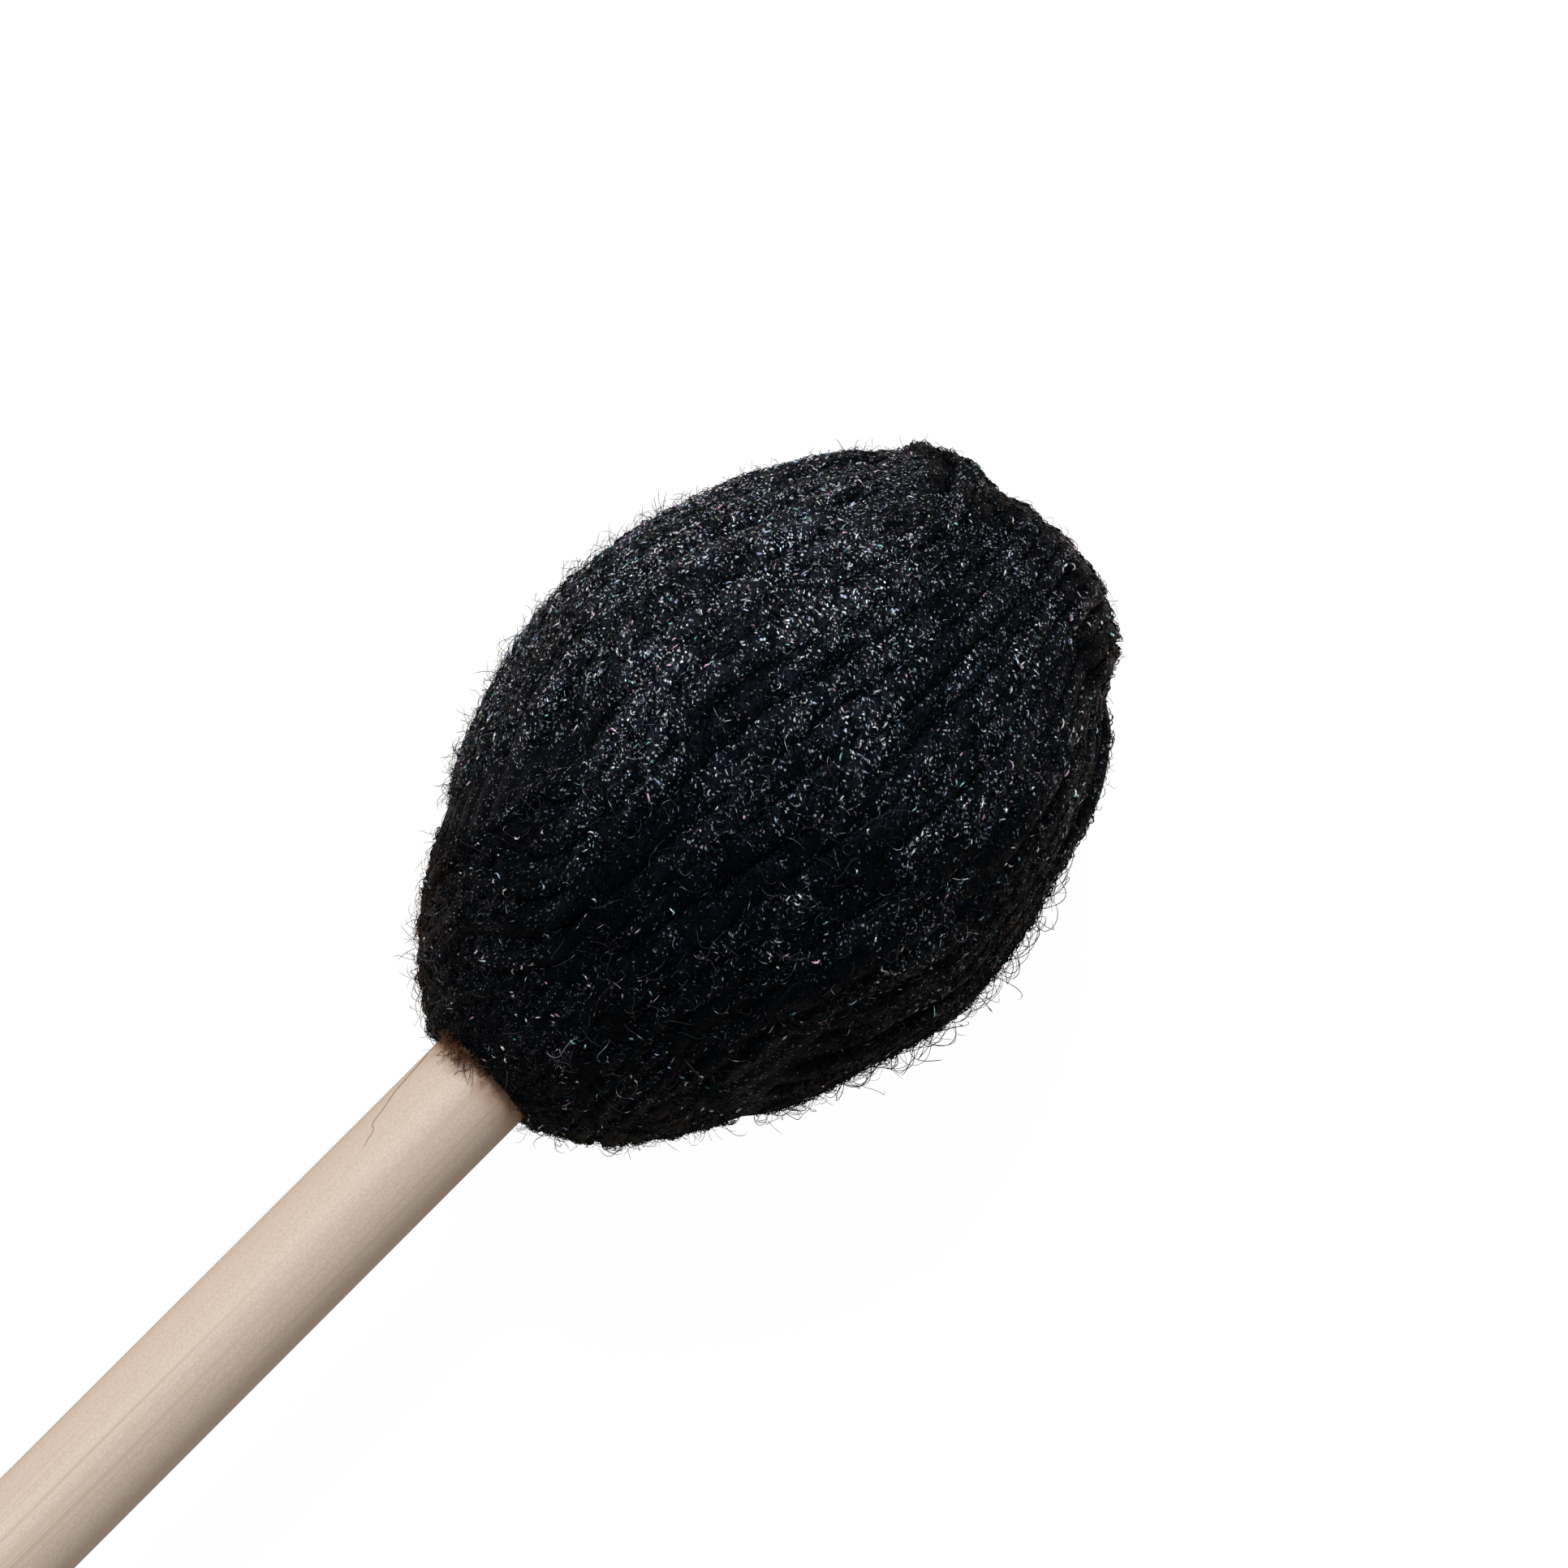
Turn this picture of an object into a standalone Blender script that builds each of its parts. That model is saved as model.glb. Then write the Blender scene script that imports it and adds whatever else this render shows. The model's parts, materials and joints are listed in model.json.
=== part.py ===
"""Yarn mallet: a birch dowel in a rubber core, wound with yarn that is stitched at the crown and at the neck.

Each piece is turned or wound about its own Z axis, with Z = 0 at the head's widest place and +Z to the
crown. An empty then lays the mallet down, with the head and the handle's butt both on Z = 0, and the
yarn that it lies on is pressed flat.
Units are metres.
"""

import math

import bmesh
import bpy
import numpy as np
from mathutils import Matrix, Vector

# Handle
HANDLE_DIAMETER = 0.00794
HANDLE_LENGTH = 0.400
HANDLE_EDGE = 0.0008

# Rubber core
CORE_DIAMETER = 0.026
CORE_HEIGHT = 0.032
CORE_EDGE = 0.007
CORE_BORE_DEPTH = 0.024

# Head: the winding's thickness at the widest place, and its heights outside the yarn
WINDING_THICKNESS = 0.0074
CROWN_HEIGHT = 0.0279
NECK_HEIGHT = 0.0302
CROWN_FULLNESS = 1.72
NECK_FULLNESS = 1.52

# Outer layer of yarn
YARN_DIAMETER = 0.00203
TURN_GAP = 0.00052
LOOPS = 24
BANDS = 2
POINTS_IN_LOOP = 24
TWIST = math.radians(25.0)
CROWN_LANE_PITCH = 0.00150
NECK_LANE_PITCH = 0.00136
TURN_IN = 0.0145
CROSSING_SPARE = 0.00035
CORNER_SPARE = 0.0006
DIVE_LENGTH = 0.0045
CROSSING_COSINE = 0.85
TUCK_BEND = 0.0008
TUCK_DEPTH = 0.0021
PRESS_DEPTH = 0.0006

# Stitch thread
THREAD_DIAMETER = 0.0006
CROWN_STITCH_RADIUS = 0.0052
NECK_STITCH_RADIUS = 0.0068

# Clearance between pieces that touch on the real mallet
CLEARANCE = 0.0003
UNDER_CLEARANCE = 0.00055

# Facets
ROUND_STEPS = 48
HANDLE_STEPS = 40
PROFILE_STEPS = 11
EDGE_STEPS = 4
THREAD_STEPS = 6
TUCK_HOLE_STEPS = 16
SAMPLES_IN_SEGMENT = 8
WELD_DISTANCE = 0.00001

HANDLE_RADIUS = HANDLE_DIAMETER / 2
CORE_RADIUS = CORE_DIAMETER / 2
BORE_RADIUS = HANDLE_RADIUS + CLEARANCE
HEAD_DIAMETER = CORE_DIAMETER + 2 * WINDING_THICKNESS
WOUND_RADIUS = (HEAD_DIAMETER - YARN_DIAMETER) / 2
LOOPS_IN_BAND = LOOPS // BANDS
STRAND_STEP = math.pi / LOOPS
FINISHES = {
    "wood": ((0.72, 0.60, 0.46), 0.48),
    "rubber": ((0.05, 0.045, 0.04), 0.8),
    "under_yarn": ((0.02, 0.02, 0.022), 0.95),
    "yarn": ((0.012, 0.012, 0.014), 0.9),
    "thread": ((0.015, 0.015, 0.018), 0.6),
}


def clear_scene():
    for item in list(bpy.data.objects):
        bpy.data.objects.remove(item, do_unlink=True)


def new_collection(name):
    group = bpy.data.collections.new(name)
    bpy.context.scene.collection.children.link(group)
    return group


def new_material(name):
    colour, roughness = FINISHES[name]
    material = bpy.data.materials.new(name)
    material.use_nodes = True
    shader = material.node_tree.nodes["Principled BSDF"]
    shader.inputs["Base Color"].default_value = (*colour, 1.0)
    shader.inputs["Roughness"].default_value = roughness
    shader.inputs["Metallic"].default_value = 0.0
    material.diffuse_color = (*colour, 1.0)
    return material


def add_piece(name, data, group, material):
    piece = bpy.data.objects.new(name, data)
    group.objects.link(piece)
    data.materials.append(material)
    return piece


def turned(name, profile, steps, group, material):
    """A profile in X and Z, given top to bottom on its outer side, turned about Z."""
    mesh = bpy.data.meshes.new(name)
    edges = [(i, i + 1) for i in range(len(profile) - 1)]
    mesh.from_pydata([(x, 0.0, z) for x, z in profile], edges, [])
    piece = add_piece(name, mesh, group, material)
    screw = piece.modifiers.new("Turn", "SCREW")
    screw.axis = "Z"
    screw.steps = steps
    screw.render_steps = steps
    screw.use_merge_vertices = True
    screw.merge_threshold = WELD_DISTANCE
    screw.use_smooth_shade = True
    return piece


def arc(centre_x, centre_z, radius, start, end, steps):
    """Points on an arc in X and Z, between two angles measured from +X toward +Z."""
    angles = [start + (end - start) * i / steps for i in range(steps + 1)]
    return [(centre_x + radius * math.cos(a), centre_z + radius * math.sin(a)) for a in angles]


def smooth(value):
    """A step from 0 to 1 with level ends."""
    value = np.clip(value, 0.0, 1.0)
    return value * value * (3.0 - 2.0 * value)


# Head surface

def head_surface(radius, side, rise):
    """Radius and height of a point `rise` outside the surface that the strands' middles follow.

    The surface is a full ellipse: (radius / R) ** 2 + (height / H) ** fullness = 1.
    """
    height = (CROWN_HEIGHT if side > 0 else NECK_HEIGHT) - YARN_DIAMETER / 2
    fullness = CROWN_FULLNESS if side > 0 else NECK_FULLNESS
    radius = np.minimum(radius, WOUND_RADIUS * 0.99999)
    z = height * (1.0 - (radius / WOUND_RADIUS) ** 2) ** (1.0 / fullness)
    out = 2.0 * radius / WOUND_RADIUS ** 2
    up = fullness * z ** (fullness - 1.0) / height ** fullness
    length = np.hypot(out, up)
    return radius + rise * out / length, side * (z + rise * up / length)


# Winding

def lane_pitch(side):
    return CROWN_LANE_PITCH if side > 0 else NECK_LANE_PITCH


def first_neck_lane():
    """Offset of the strands that lie against the handle."""
    return BORE_RADIUS + (NECK_LANE_PITCH - TURN_GAP) / 2


def lane(strand, side):
    """Offset from the axis at which a strand crosses the crown, or goes by the handle."""
    place = strand - (LOOPS_IN_BAND - 1) / 2
    if side > 0:
        return place * CROWN_LANE_PITCH
    return math.copysign(first_neck_lane() + (abs(place) - 0.5) * NECK_LANE_PITCH, place)


def band_step(side):
    """How much deeper a band lies than the one that crosses over it."""
    return lane_pitch(side) + CROSSING_SPARE


def strand_path(strand, band, side):
    """One strand over the crown (side 1) or past the handle (side -1), widest place to widest place.

    It leaves on its own meridian, bends into its lane, and runs in it straight across. The bands lie
    square to each other. The last one stays on top, and the others dive to pass under it, but straight
    down beside the handle. Half a step of turn puts one strand, and not a gap, lowest when the mallet lies.
    """
    half = POINTS_IN_LOOP // 4
    across = (np.arange(2 * half) + 0.5) / half - 1.0
    meridian = (strand - (LOOPS_IN_BAND - 1) / 2) * STRAND_STEP
    turn = (band + 1) * math.pi / BANDS + STRAND_STEP / 2
    if side < 0:
        meridian += STRAND_STEP / 2
        turn += STRAND_STEP / 2
    offset = lane(strand, side)
    outermost = abs(lane(0, side))
    along = WOUND_RADIUS * math.cos(meridian) * np.sin(np.abs(across) * math.pi / 2)
    on_meridian = along * math.tan(meridian)
    bend_start = min(TURN_IN, WOUND_RADIUS * math.cos(meridian) * 0.995)
    bend_end = outermost if side > 0 else abs(offset)
    in_lane = smooth((bend_start - along) / (bend_start - bend_end))
    aside = on_meridian + (offset - on_meridian) * in_lane
    radius = np.hypot(along, aside)
    dive_end = outermost + CORNER_SPARE
    dive_start = min(outermost + DIVE_LENGTH, WOUND_RADIUS * math.cos(meridian) * 0.98)
    depth = band_step(side) * (BANDS - 1 - band)
    new_radius, z = head_surface(radius, side, -depth * smooth((dive_start - along) / (dive_start - dive_end)))
    if side < 0:
        beside_handle = smooth((outermost - radius) / (outermost - first_neck_lane()))
        new_radius += (radius - new_radius) * beside_handle
    x = -np.sign(across) * along * new_radius / radius
    y = aside * new_radius / radius
    return np.stack([x * math.cos(turn) - y * math.sin(turn), x * math.sin(turn) + y * math.cos(turn), z], 1)


def twisted(points):
    """Turns each point about Z by its share of the lean that all the strands have."""
    angle = TWIST * points[:, 2] / (CROWN_HEIGHT + NECK_HEIGHT)
    x = points[:, 0] * np.cos(angle) - points[:, 1] * np.sin(angle)
    y = points[:, 0] * np.sin(angle) + points[:, 1] * np.cos(angle)
    return np.stack([x, y, points[:, 2]], 1)


def tuck(points):
    """Bends the end of a run of points inward, square to the head's surface."""
    last = points[-1]
    radius = math.hypot(last[0], last[1])
    ahead = (points[-1] - points[-2]) / np.linalg.norm(points[-1] - points[-2])
    foot, foot_z = head_surface(radius, -1, 0.0)
    under, under_z = head_surface(radius, -1, -1.0)
    inward = np.array([last[0] / radius * (under - foot), last[1] / radius * (under - foot), under_z - foot_z])
    bend = last + ahead * TUCK_BEND + inward * TUCK_BEND
    return np.concatenate([points, [bend, bend + inward * TUCK_DEPTH]])


def winding_path():
    """All the loops as one run of points: over the crown, past the handle and up again, both ends tucked in."""
    end_points = POINTS_IN_LOOP // 12
    runs = [strand_path(-1, 0, -1)[:end_points][::-1]]
    for number in range(LOOPS):
        band, strand = divmod(number, LOOPS_IN_BAND)
        runs.append(strand_path(strand, band, 1))
        runs.append(strand_path(strand, band, -1)[::-1])
    runs[-1] = runs[-1][:end_points]
    points = twisted(np.concatenate(runs))
    points = tuck(points)
    return tuck(points[::-1])[::-1]


def point_room(points):
    """Distance from each point of the run to the nearest segment that is not a close neighbour along it."""
    starts = points[:-1]
    along = points[1:] - starts
    apart = points[:, None] - starts[None]
    share = np.clip((apart * along).sum(2) / (along * along).sum(1), 0.0, 1.0)
    distance = np.linalg.norm(apart - along * share[..., None], axis=2)
    near = np.abs(np.arange(len(points))[:, None] - np.arange(len(starts)) - 0.5) < 3.0
    return np.where(near, np.inf, distance).min(1)


def segment_distances(points):
    """Distance between each two segments of the run that are not close neighbours along it."""
    starts = points[:-1]
    along = points[1:] - starts
    one, other = np.triu_indices(len(starts), 3)
    d1, d2 = along[one], along[other]
    apart = starts[one] - starts[other]
    a = (d1 * d1).sum(1)
    b = (d1 * d2).sum(1)
    c = (d1 * apart).sum(1)
    e = (d2 * d2).sum(1)
    f = (d2 * apart).sum(1)
    spread = np.maximum(a * e - b * b, 1e-18)
    s = np.clip((b * f - c * e) / spread, 0.0, 1.0)
    t = np.clip((b * s + f) / e, 0.0, 1.0)
    s = np.clip((b * t - c) / a, 0.0, 1.0)
    t = np.clip((b * s + f) / e, 0.0, 1.0)
    crossing = b * b < CROSSING_COSINE ** 2 * a * e
    return one, other, s, t, crossing, np.linalg.norm(apart + d1 * s[:, None] - d2 * t[:, None], axis=1)


def yarn_radii(points):
    """Radius at each point: the yarn's own, or less where its neighbours press it flat."""
    one, other, s, t, crossing, distance = segment_distances(points)
    room = np.minimum(YARN_DIAMETER + TURN_GAP, point_room(points))
    for ends in (one, one + 1, other, other + 1):
        np.minimum.at(room, ends[crossing], distance[crossing])
    radii = (room - TURN_GAP) / 2
    here = radii[one] + (radii[one + 1] - radii[one]) * s
    there = radii[other] + (radii[other + 1] - radii[other]) * t
    print(f"outer_winding: least gap of the yarn to itself {(distance - here - there).min() * 1000:.3f} mm")
    print(f"outer_winding: yarn {radii.min() * 2000:.2f} to {radii.max() * 2000:.2f} mm thick")
    return radii


def outer_winding(group, material):
    points = winding_path()
    radii = yarn_radii(points)
    curve = bpy.data.curves.new("outer_winding", "CURVE")
    curve.dimensions = "3D"
    curve.bevel_depth = YARN_DIAMETER / 2
    curve.bevel_resolution = 1
    curve.use_fill_caps = True
    spline = curve.splines.new("POLY")
    spline.points.add(len(points) - 1)
    for target, point, radius in zip(spline.points, points, radii):
        target.co = (*point, 1.0)
        target.radius = radius / curve.bevel_depth
    return as_mesh(add_piece("outer_winding", curve, group, material), group), points, radii


def as_mesh(piece, group):
    """The same piece as a mesh, with a curve's loose caps welded on."""
    bpy.context.view_layer.update()
    mesh = bpy.data.meshes.new_from_object(piece.evaluated_get(bpy.context.evaluated_depsgraph_get()))
    shape = bmesh.new()
    shape.from_mesh(mesh)
    bmesh.ops.remove_doubles(shape, verts=shape.verts, dist=WELD_DISTANCE)
    shape.to_mesh(mesh)
    shape.free()
    name = piece.name
    place = piece.matrix_world.copy()
    bpy.data.objects.remove(piece, do_unlink=True)
    solid = bpy.data.objects.new(name, mesh)
    solid.matrix_world = place
    group.objects.link(solid)
    return solid


# Pieces under the outer layer

def core_outline(grow):
    """The core's outer side, top to bottom, grown by a clearance."""
    top = CORE_HEIGHT / 2
    inner = CORE_RADIUS - CORE_EDGE
    edge = CORE_EDGE + grow
    points = arc(inner, top - CORE_EDGE, edge, math.pi / 2, 0.0, EDGE_STEPS)
    points += arc(inner, CORE_EDGE - top, edge, 0.0, -math.pi / 2, EDGE_STEPS)
    return points


def rubber_core(group, material):
    outside = core_outline(0.0)
    bottom = -CORE_HEIGHT / 2
    floor = bottom + CORE_BORE_DEPTH
    profile = [(0.0, CORE_HEIGHT / 2)] + outside
    profile += [(BORE_RADIUS, bottom), (BORE_RADIUS, floor), (0.0, floor)]
    return turned("rubber_core", profile, ROUND_STEPS, group, material)


def under_outline():
    """The inner winding's outer side: under the lower band's strands, and straight down at the widest place."""
    drop = YARN_DIAMETER / 2 + UNDER_CLEARANCE
    points = []
    for side in (1, -1):
        row = []
        least = 0.0 if side > 0 else BORE_RADIUS
        deepest = band_step(side) * (BANDS - 1) + (lane_pitch(side) - TURN_GAP) / 2 + UNDER_CLEARANCE
        dive_end = abs(lane(0, side)) * math.sqrt(2.0) + CORNER_SPARE
        for i in range(PROFILE_STEPS):
            radius = least + (WOUND_RADIUS - least) * math.sin(i / PROFILE_STEPS * math.pi / 2)
            dived = smooth((WOUND_RADIUS - radius) / (WOUND_RADIUS - dive_end))
            x, z = head_surface(radius, side, -drop - (deepest - drop) * dived)
            row.append((max(float(x), least), float(z)))
        points += row if side > 0 else row[::-1]
    return points


def inner_winding(group, cutters, material, points, radii):
    """The layers of yarn under the outer one, with a hollow for the core and a hole for the handle."""
    cavity = core_outline(CLEARANCE)
    top = CORE_HEIGHT / 2 + CLEARANCE
    profile = under_outline() + [(BORE_RADIUS, -top)] + cavity[::-1] + [(0.0, top)]
    piece = turned("inner_winding", profile, ROUND_STEPS, group, material)
    for number, end in enumerate((0, -1)):
        inner = Vector(points[end])
        outer = Vector(points[1 if end == 0 else -2])
        hole = tuck_hole(f"tuck_hole_{number + 1}", inner, outer, radii[end], cutters)
        cut = piece.modifiers.new(f"Tuck {number + 1}", "BOOLEAN")
        cut.operation = "DIFFERENCE"
        cut.solver = "EXACT"
        cut.object = hole
    return piece


def tuck_hole(name, inner, outer, yarn_radius, cutters):
    """The hole that takes an end of the yarn, along its last straight."""
    direction = (outer - inner).normalized()
    start = inner - direction * CLEARANCE
    length = (outer - start).length + YARN_DIAMETER
    mesh = bpy.data.meshes.new(name)
    shape = bmesh.new()
    radius = yarn_radius + CLEARANCE
    bmesh.ops.create_cone(shape, cap_ends=True, segments=TUCK_HOLE_STEPS, radius1=radius,
                          radius2=radius, depth=length)
    shape.to_mesh(mesh)
    shape.free()
    hole = bpy.data.objects.new(name, mesh)
    cutters.objects.link(hole)
    middle = start + direction * length / 2
    hole.matrix_world = Matrix.Translation(middle) @ direction.to_track_quat("Z", "Y").to_matrix().to_4x4()
    hole.hide_render = True
    hole.display_type = "WIRE"
    return hole


def handle(group, material):
    top = CORE_BORE_DEPTH - CORE_HEIGHT / 2 - CLEARANCE
    butt = top - HANDLE_LENGTH
    inner = HANDLE_RADIUS - HANDLE_EDGE
    profile = [(0.0, top)]
    profile += arc(inner, top - HANDLE_EDGE, HANDLE_EDGE, math.pi / 2, 0.0, EDGE_STEPS)
    profile += arc(inner, butt + HANDLE_EDGE, HANDLE_EDGE, 0.0, -math.pi / 2, EDGE_STEPS)
    profile += [(0.0, butt)]
    return turned("handle", profile, HANDLE_STEPS, group, material), butt


def stitch(name, radius, side, group, material, points, radii):
    """A thread drawn tight in a ring over the strands, as close to them as the clearance lets it."""
    share = np.linspace(0.0, 1.0, SAMPLES_IN_SEGMENT, endpoint=False)[:, None, None]
    strand = (points[:-1] + (points[1:] - points[:-1]) * share).reshape(-1, 3)
    thickness = (radii[:-1] + (radii[1:] - radii[:-1]) * share[..., 0]).reshape(-1)
    apart = thickness + THREAD_DIAMETER / 2 + CLEARANCE
    aside = np.hypot(strand[:, 0], strand[:, 1]) - radius
    under = (np.abs(aside) < apart) & (strand[:, 2] * side > 0.0)
    height = (strand[under, 2] * side + np.sqrt(apart[under] ** 2 - aside[under] ** 2)).max()
    bpy.ops.mesh.primitive_torus_add(
        major_segments=ROUND_STEPS,
        minor_segments=THREAD_STEPS,
        major_radius=radius,
        minor_radius=THREAD_DIAMETER / 2,
        location=(0.0, 0.0, float(height) * side),
    )
    ring = bpy.context.object
    ring.name = name
    ring.data.name = name
    for owner in list(ring.users_collection):
        owner.objects.unlink(ring)
    group.objects.link(ring)
    ring.data.materials.append(material)
    ring.data.shade_smooth()
    return ring


# Laying the mallet down

def evaluated_points(pieces):
    depsgraph = bpy.context.evaluated_depsgraph_get()
    rows = []
    for piece in pieces:
        shown = piece.evaluated_get(depsgraph)
        mesh = shown.to_mesh()
        rows += [piece.matrix_world @ v.co for v in mesh.vertices]
        shown.to_mesh_clear()
    return np.array(rows)


def lay_down(stand, head, rod, every):
    """Tilts the axis until the pressed head and the butt are equally low, then centres the whole on the origin."""
    head_points = evaluated_points([head])
    rod_points = evaluated_points([rod])
    low, high = 0.0, math.radians(10.0)
    for _ in range(50):
        tilt = (low + high) / 2
        turn = np.array(Matrix.Rotation(math.pi / 2 - tilt, 3, "Y"))
        floor = (head_points @ turn.T)[:, 2].min() + PRESS_DEPTH
        if floor < (rod_points @ turn.T)[:, 2].min():
            low = tilt
        else:
            high = tilt
    all_points = evaluated_points(every) @ turn.T
    lowest = all_points.min(0)
    highest = all_points.max(0)
    stand.rotation_euler = (0.0, math.pi / 2 - tilt, 0.0)
    stand.location = (-(lowest[0] + highest[0]) / 2, -(lowest[1] + highest[1]) / 2, -floor)
    return tilt


def press_flat(winding, stand):
    """The yarn gives way under the mallet: what would lie below Z = 0 moves straight up to it."""
    up = np.array(stand.matrix_world)[2]
    mesh = winding.data
    points = np.empty(len(mesh.vertices) * 3)
    mesh.vertices.foreach_get("co", points)
    points = points.reshape(-1, 3)
    below = np.minimum(points @ up[:3] + up[3], 0.0)
    mesh.vertices.foreach_set("co", (points - below[:, None] * up[:3]).ravel())


def main():
    clear_scene()
    mallet = new_collection("yarn_mallet")
    cutters = new_collection("cutters")
    materials = {name: new_material(name) for name in FINISHES}
    winding, points, radii = outer_winding(mallet, materials["yarn"])
    rod, butt = handle(mallet, materials["wood"])
    pieces = [
        rod,
        rubber_core(mallet, materials["rubber"]),
        inner_winding(mallet, cutters, materials["under_yarn"], points, radii),
        winding,
        stitch("crown_stitch", CROWN_STITCH_RADIUS, 1, mallet, materials["thread"], points, radii),
        stitch("neck_stitch", NECK_STITCH_RADIUS, -1, mallet, materials["thread"], points, radii),
    ]
    stand = bpy.data.objects.new("mallet_axis", None)
    mallet.objects.link(stand)
    bpy.context.view_layer.update()
    tilt = lay_down(stand, winding, rod, pieces)
    for item in pieces + list(cutters.objects):
        item.parent = stand
    bpy.context.view_layer.update()
    press_flat(winding, stand)
    butt_centre = stand.matrix_world @ Vector((0.0, 0.0, butt))
    butt_axis = stand.matrix_world.to_3x3() @ Vector((0.0, 0.0, -1.0))
    print(f"axis tilt {math.degrees(tilt):.4f} degrees")
    print("butt centre", tuple(round(v, 7) for v in butt_centre), "axis", tuple(round(v, 7) for v in butt_axis))


main()
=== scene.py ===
import json
import math

import bpy
import numpy as np
from mathutils import Matrix, Vector


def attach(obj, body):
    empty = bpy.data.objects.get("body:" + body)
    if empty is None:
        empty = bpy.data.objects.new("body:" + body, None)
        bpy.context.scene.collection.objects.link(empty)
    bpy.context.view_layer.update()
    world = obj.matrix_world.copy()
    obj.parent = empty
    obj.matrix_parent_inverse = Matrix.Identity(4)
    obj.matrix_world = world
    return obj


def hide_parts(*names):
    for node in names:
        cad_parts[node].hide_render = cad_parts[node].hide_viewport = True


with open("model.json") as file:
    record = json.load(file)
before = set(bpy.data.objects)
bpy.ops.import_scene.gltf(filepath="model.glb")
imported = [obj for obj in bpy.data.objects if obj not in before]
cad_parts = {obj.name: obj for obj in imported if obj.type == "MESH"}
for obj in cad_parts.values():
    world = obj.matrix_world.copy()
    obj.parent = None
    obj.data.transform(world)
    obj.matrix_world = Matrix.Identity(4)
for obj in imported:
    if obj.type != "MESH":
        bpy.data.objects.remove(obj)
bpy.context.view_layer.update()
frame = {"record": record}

scene = bpy.context.scene
scene.view_settings.view_transform = "Standard"
mm = 0.001
tiny = 1e-12


# Formulas that several pieces use

# A step from 0 to 1 with level ends: 3 times the square less 2 times the cube
def smooth(value):
    value = np.clip(value, 0.0, 1.0)
    return value * value * (3.0 - 2.0 * value)


# Each vector over its own length
def unit(vectors):
    return vectors / np.maximum(np.linalg.norm(vectors, axis=-1, keepdims=True), tiny)


# A smooth random row: cosines of 1, 2, 3 ... cycles with random strengths and phases, about 1 in size
def wander(rng, steps, cycles):
    turns = np.arange(1, cycles + 1)[:, None]
    strength = rng.normal(size=(cycles, 1))
    phase = rng.uniform(0, math.tau, (cycles, 1))
    row = (strength * np.cos(turns * np.linspace(0, math.tau, steps) + phase)).sum(0)
    return row / math.sqrt(cycles / 2)


# Angles that share out a full turn evenly
def evenAngles(count):
    return np.arange(count) * math.tau / count


# Points round the axis: the radius times the cosine and the sine of the angle, and the height
def roundAxis(radius, angle, height):
    x, y = radius * np.cos(angle), radius * np.sin(angle)
    return np.stack([x, y, height + np.zeros_like(x)], -1)


# Points turned about the axis by an angle
def turnedBy(points, angle):
    x = points[..., 0] * np.cos(angle) - points[..., 1] * np.sin(angle)
    y = points[..., 0] * np.sin(angle) + points[..., 1] * np.cos(angle)
    return np.stack([x, y, points[..., 2]], -1)


# Where the mallet lies: its own Z axis runs through the handle to the crown, with 0 at the head's widest place.
# The left side, seen toward the crown, is where Y is positive

lie = {
    "buttToWidest": 392.3 * mm,
    "floorGap": 0.06 * mm,
}
buttEnd = next(mount for mount in frame["record"]["mounts"] if mount["name"] == "butt_end")
axisWay = -unit(np.array(buttEnd["axis"]))
localAxes = np.array([[axisWay[2], 0.0, -axisWay[0]], [0.0, 1.0, 0.0], axisWay])
widestPlace = np.array(buttEnd["pos_m"]) + axisWay * lie["buttToWidest"]


# The widest place, plus each coordinate times the mallet's own axis for it
def toWorld(points):
    return widestPlace + points @ localAxes


crown = {
    "wider": [(20.0 * mm, 2.5 * mm, 0.055), (23.0 * mm, 3.0 * mm, 0.15)],  # start, reach and share
    "drawnIn": (23.0 * mm, 5.0 * mm, 0.8 * mm),  # start, reach and amount
    "relief": (22.0 * mm, 3.5 * mm),  # start and reach of the valley and the swelling
    "valley": (2.8 * mm, 2.0 * mm, -0.6 * mm),  # middle, width and height
    "swelling": (-4.2 * mm, 3.0 * mm, 0.45 * mm),
}


# The crown is blunter than the winding alone: the radius grows in two smooth steps towards it, the height is
# drawn in, and a valley runs across the end beside a low swelling, each a bell curve of the place sideways
def headToWorld(points):
    height = points[..., 2]
    grow = 1.0
    for start, reach, share in crown["wider"]:
        grow = grow + share * smooth((height - start) / reach)
    start, reach, amount = crown["drawnIn"]
    lower = amount * smooth((height - start) / reach)
    raised = 0.0
    for middle, width, amount in (crown["valley"], crown["swelling"]):
        raised = raised + amount * np.exp(-((points[..., 1] - middle) / width) ** 2)
    start, reach = crown["relief"]
    height = height - lower + raised * smooth((height - start) / reach)
    return toWorld(np.stack([points[..., 0] * grow, points[..., 1] * grow, height], -1))


# Mesh makers

# One smooth mesh from whole arrays, which stands in for the solids that it replaces
def makePiece(name, vertices, quads, triangles, material, replaced=()):
    quads = np.asarray(quads, np.int32).reshape(-1, 4)
    triangles = np.asarray(triangles, np.int32).reshape(-1, 3)
    sizes = np.repeat([4, 3], [len(quads), len(triangles)])
    mesh = bpy.data.meshes.new(name)
    mesh.vertices.add(len(vertices))
    mesh.vertices.foreach_set("co", np.ascontiguousarray(vertices, np.float32).ravel())
    mesh.loops.add(quads.size + triangles.size)
    mesh.loops.foreach_set("vertex_index", np.concatenate([quads.ravel(), triangles.ravel()]))
    mesh.polygons.add(len(sizes))
    mesh.polygons.foreach_set("loop_start", (np.cumsum(sizes) - sizes).astype(np.int32))
    mesh.polygons.foreach_set("use_smooth", np.ones(len(sizes), bool))
    mesh.update(calc_edges=True)
    mesh.materials.append(material)
    piece = bpy.data.objects.new(name, mesh)
    scene.collection.objects.link(piece)
    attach(piece, "root")
    if replaced:
        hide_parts(*replaced)
    print(f"{name}: {len(quads) * 2 + len(triangles)} triangles")
    return piece


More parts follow.
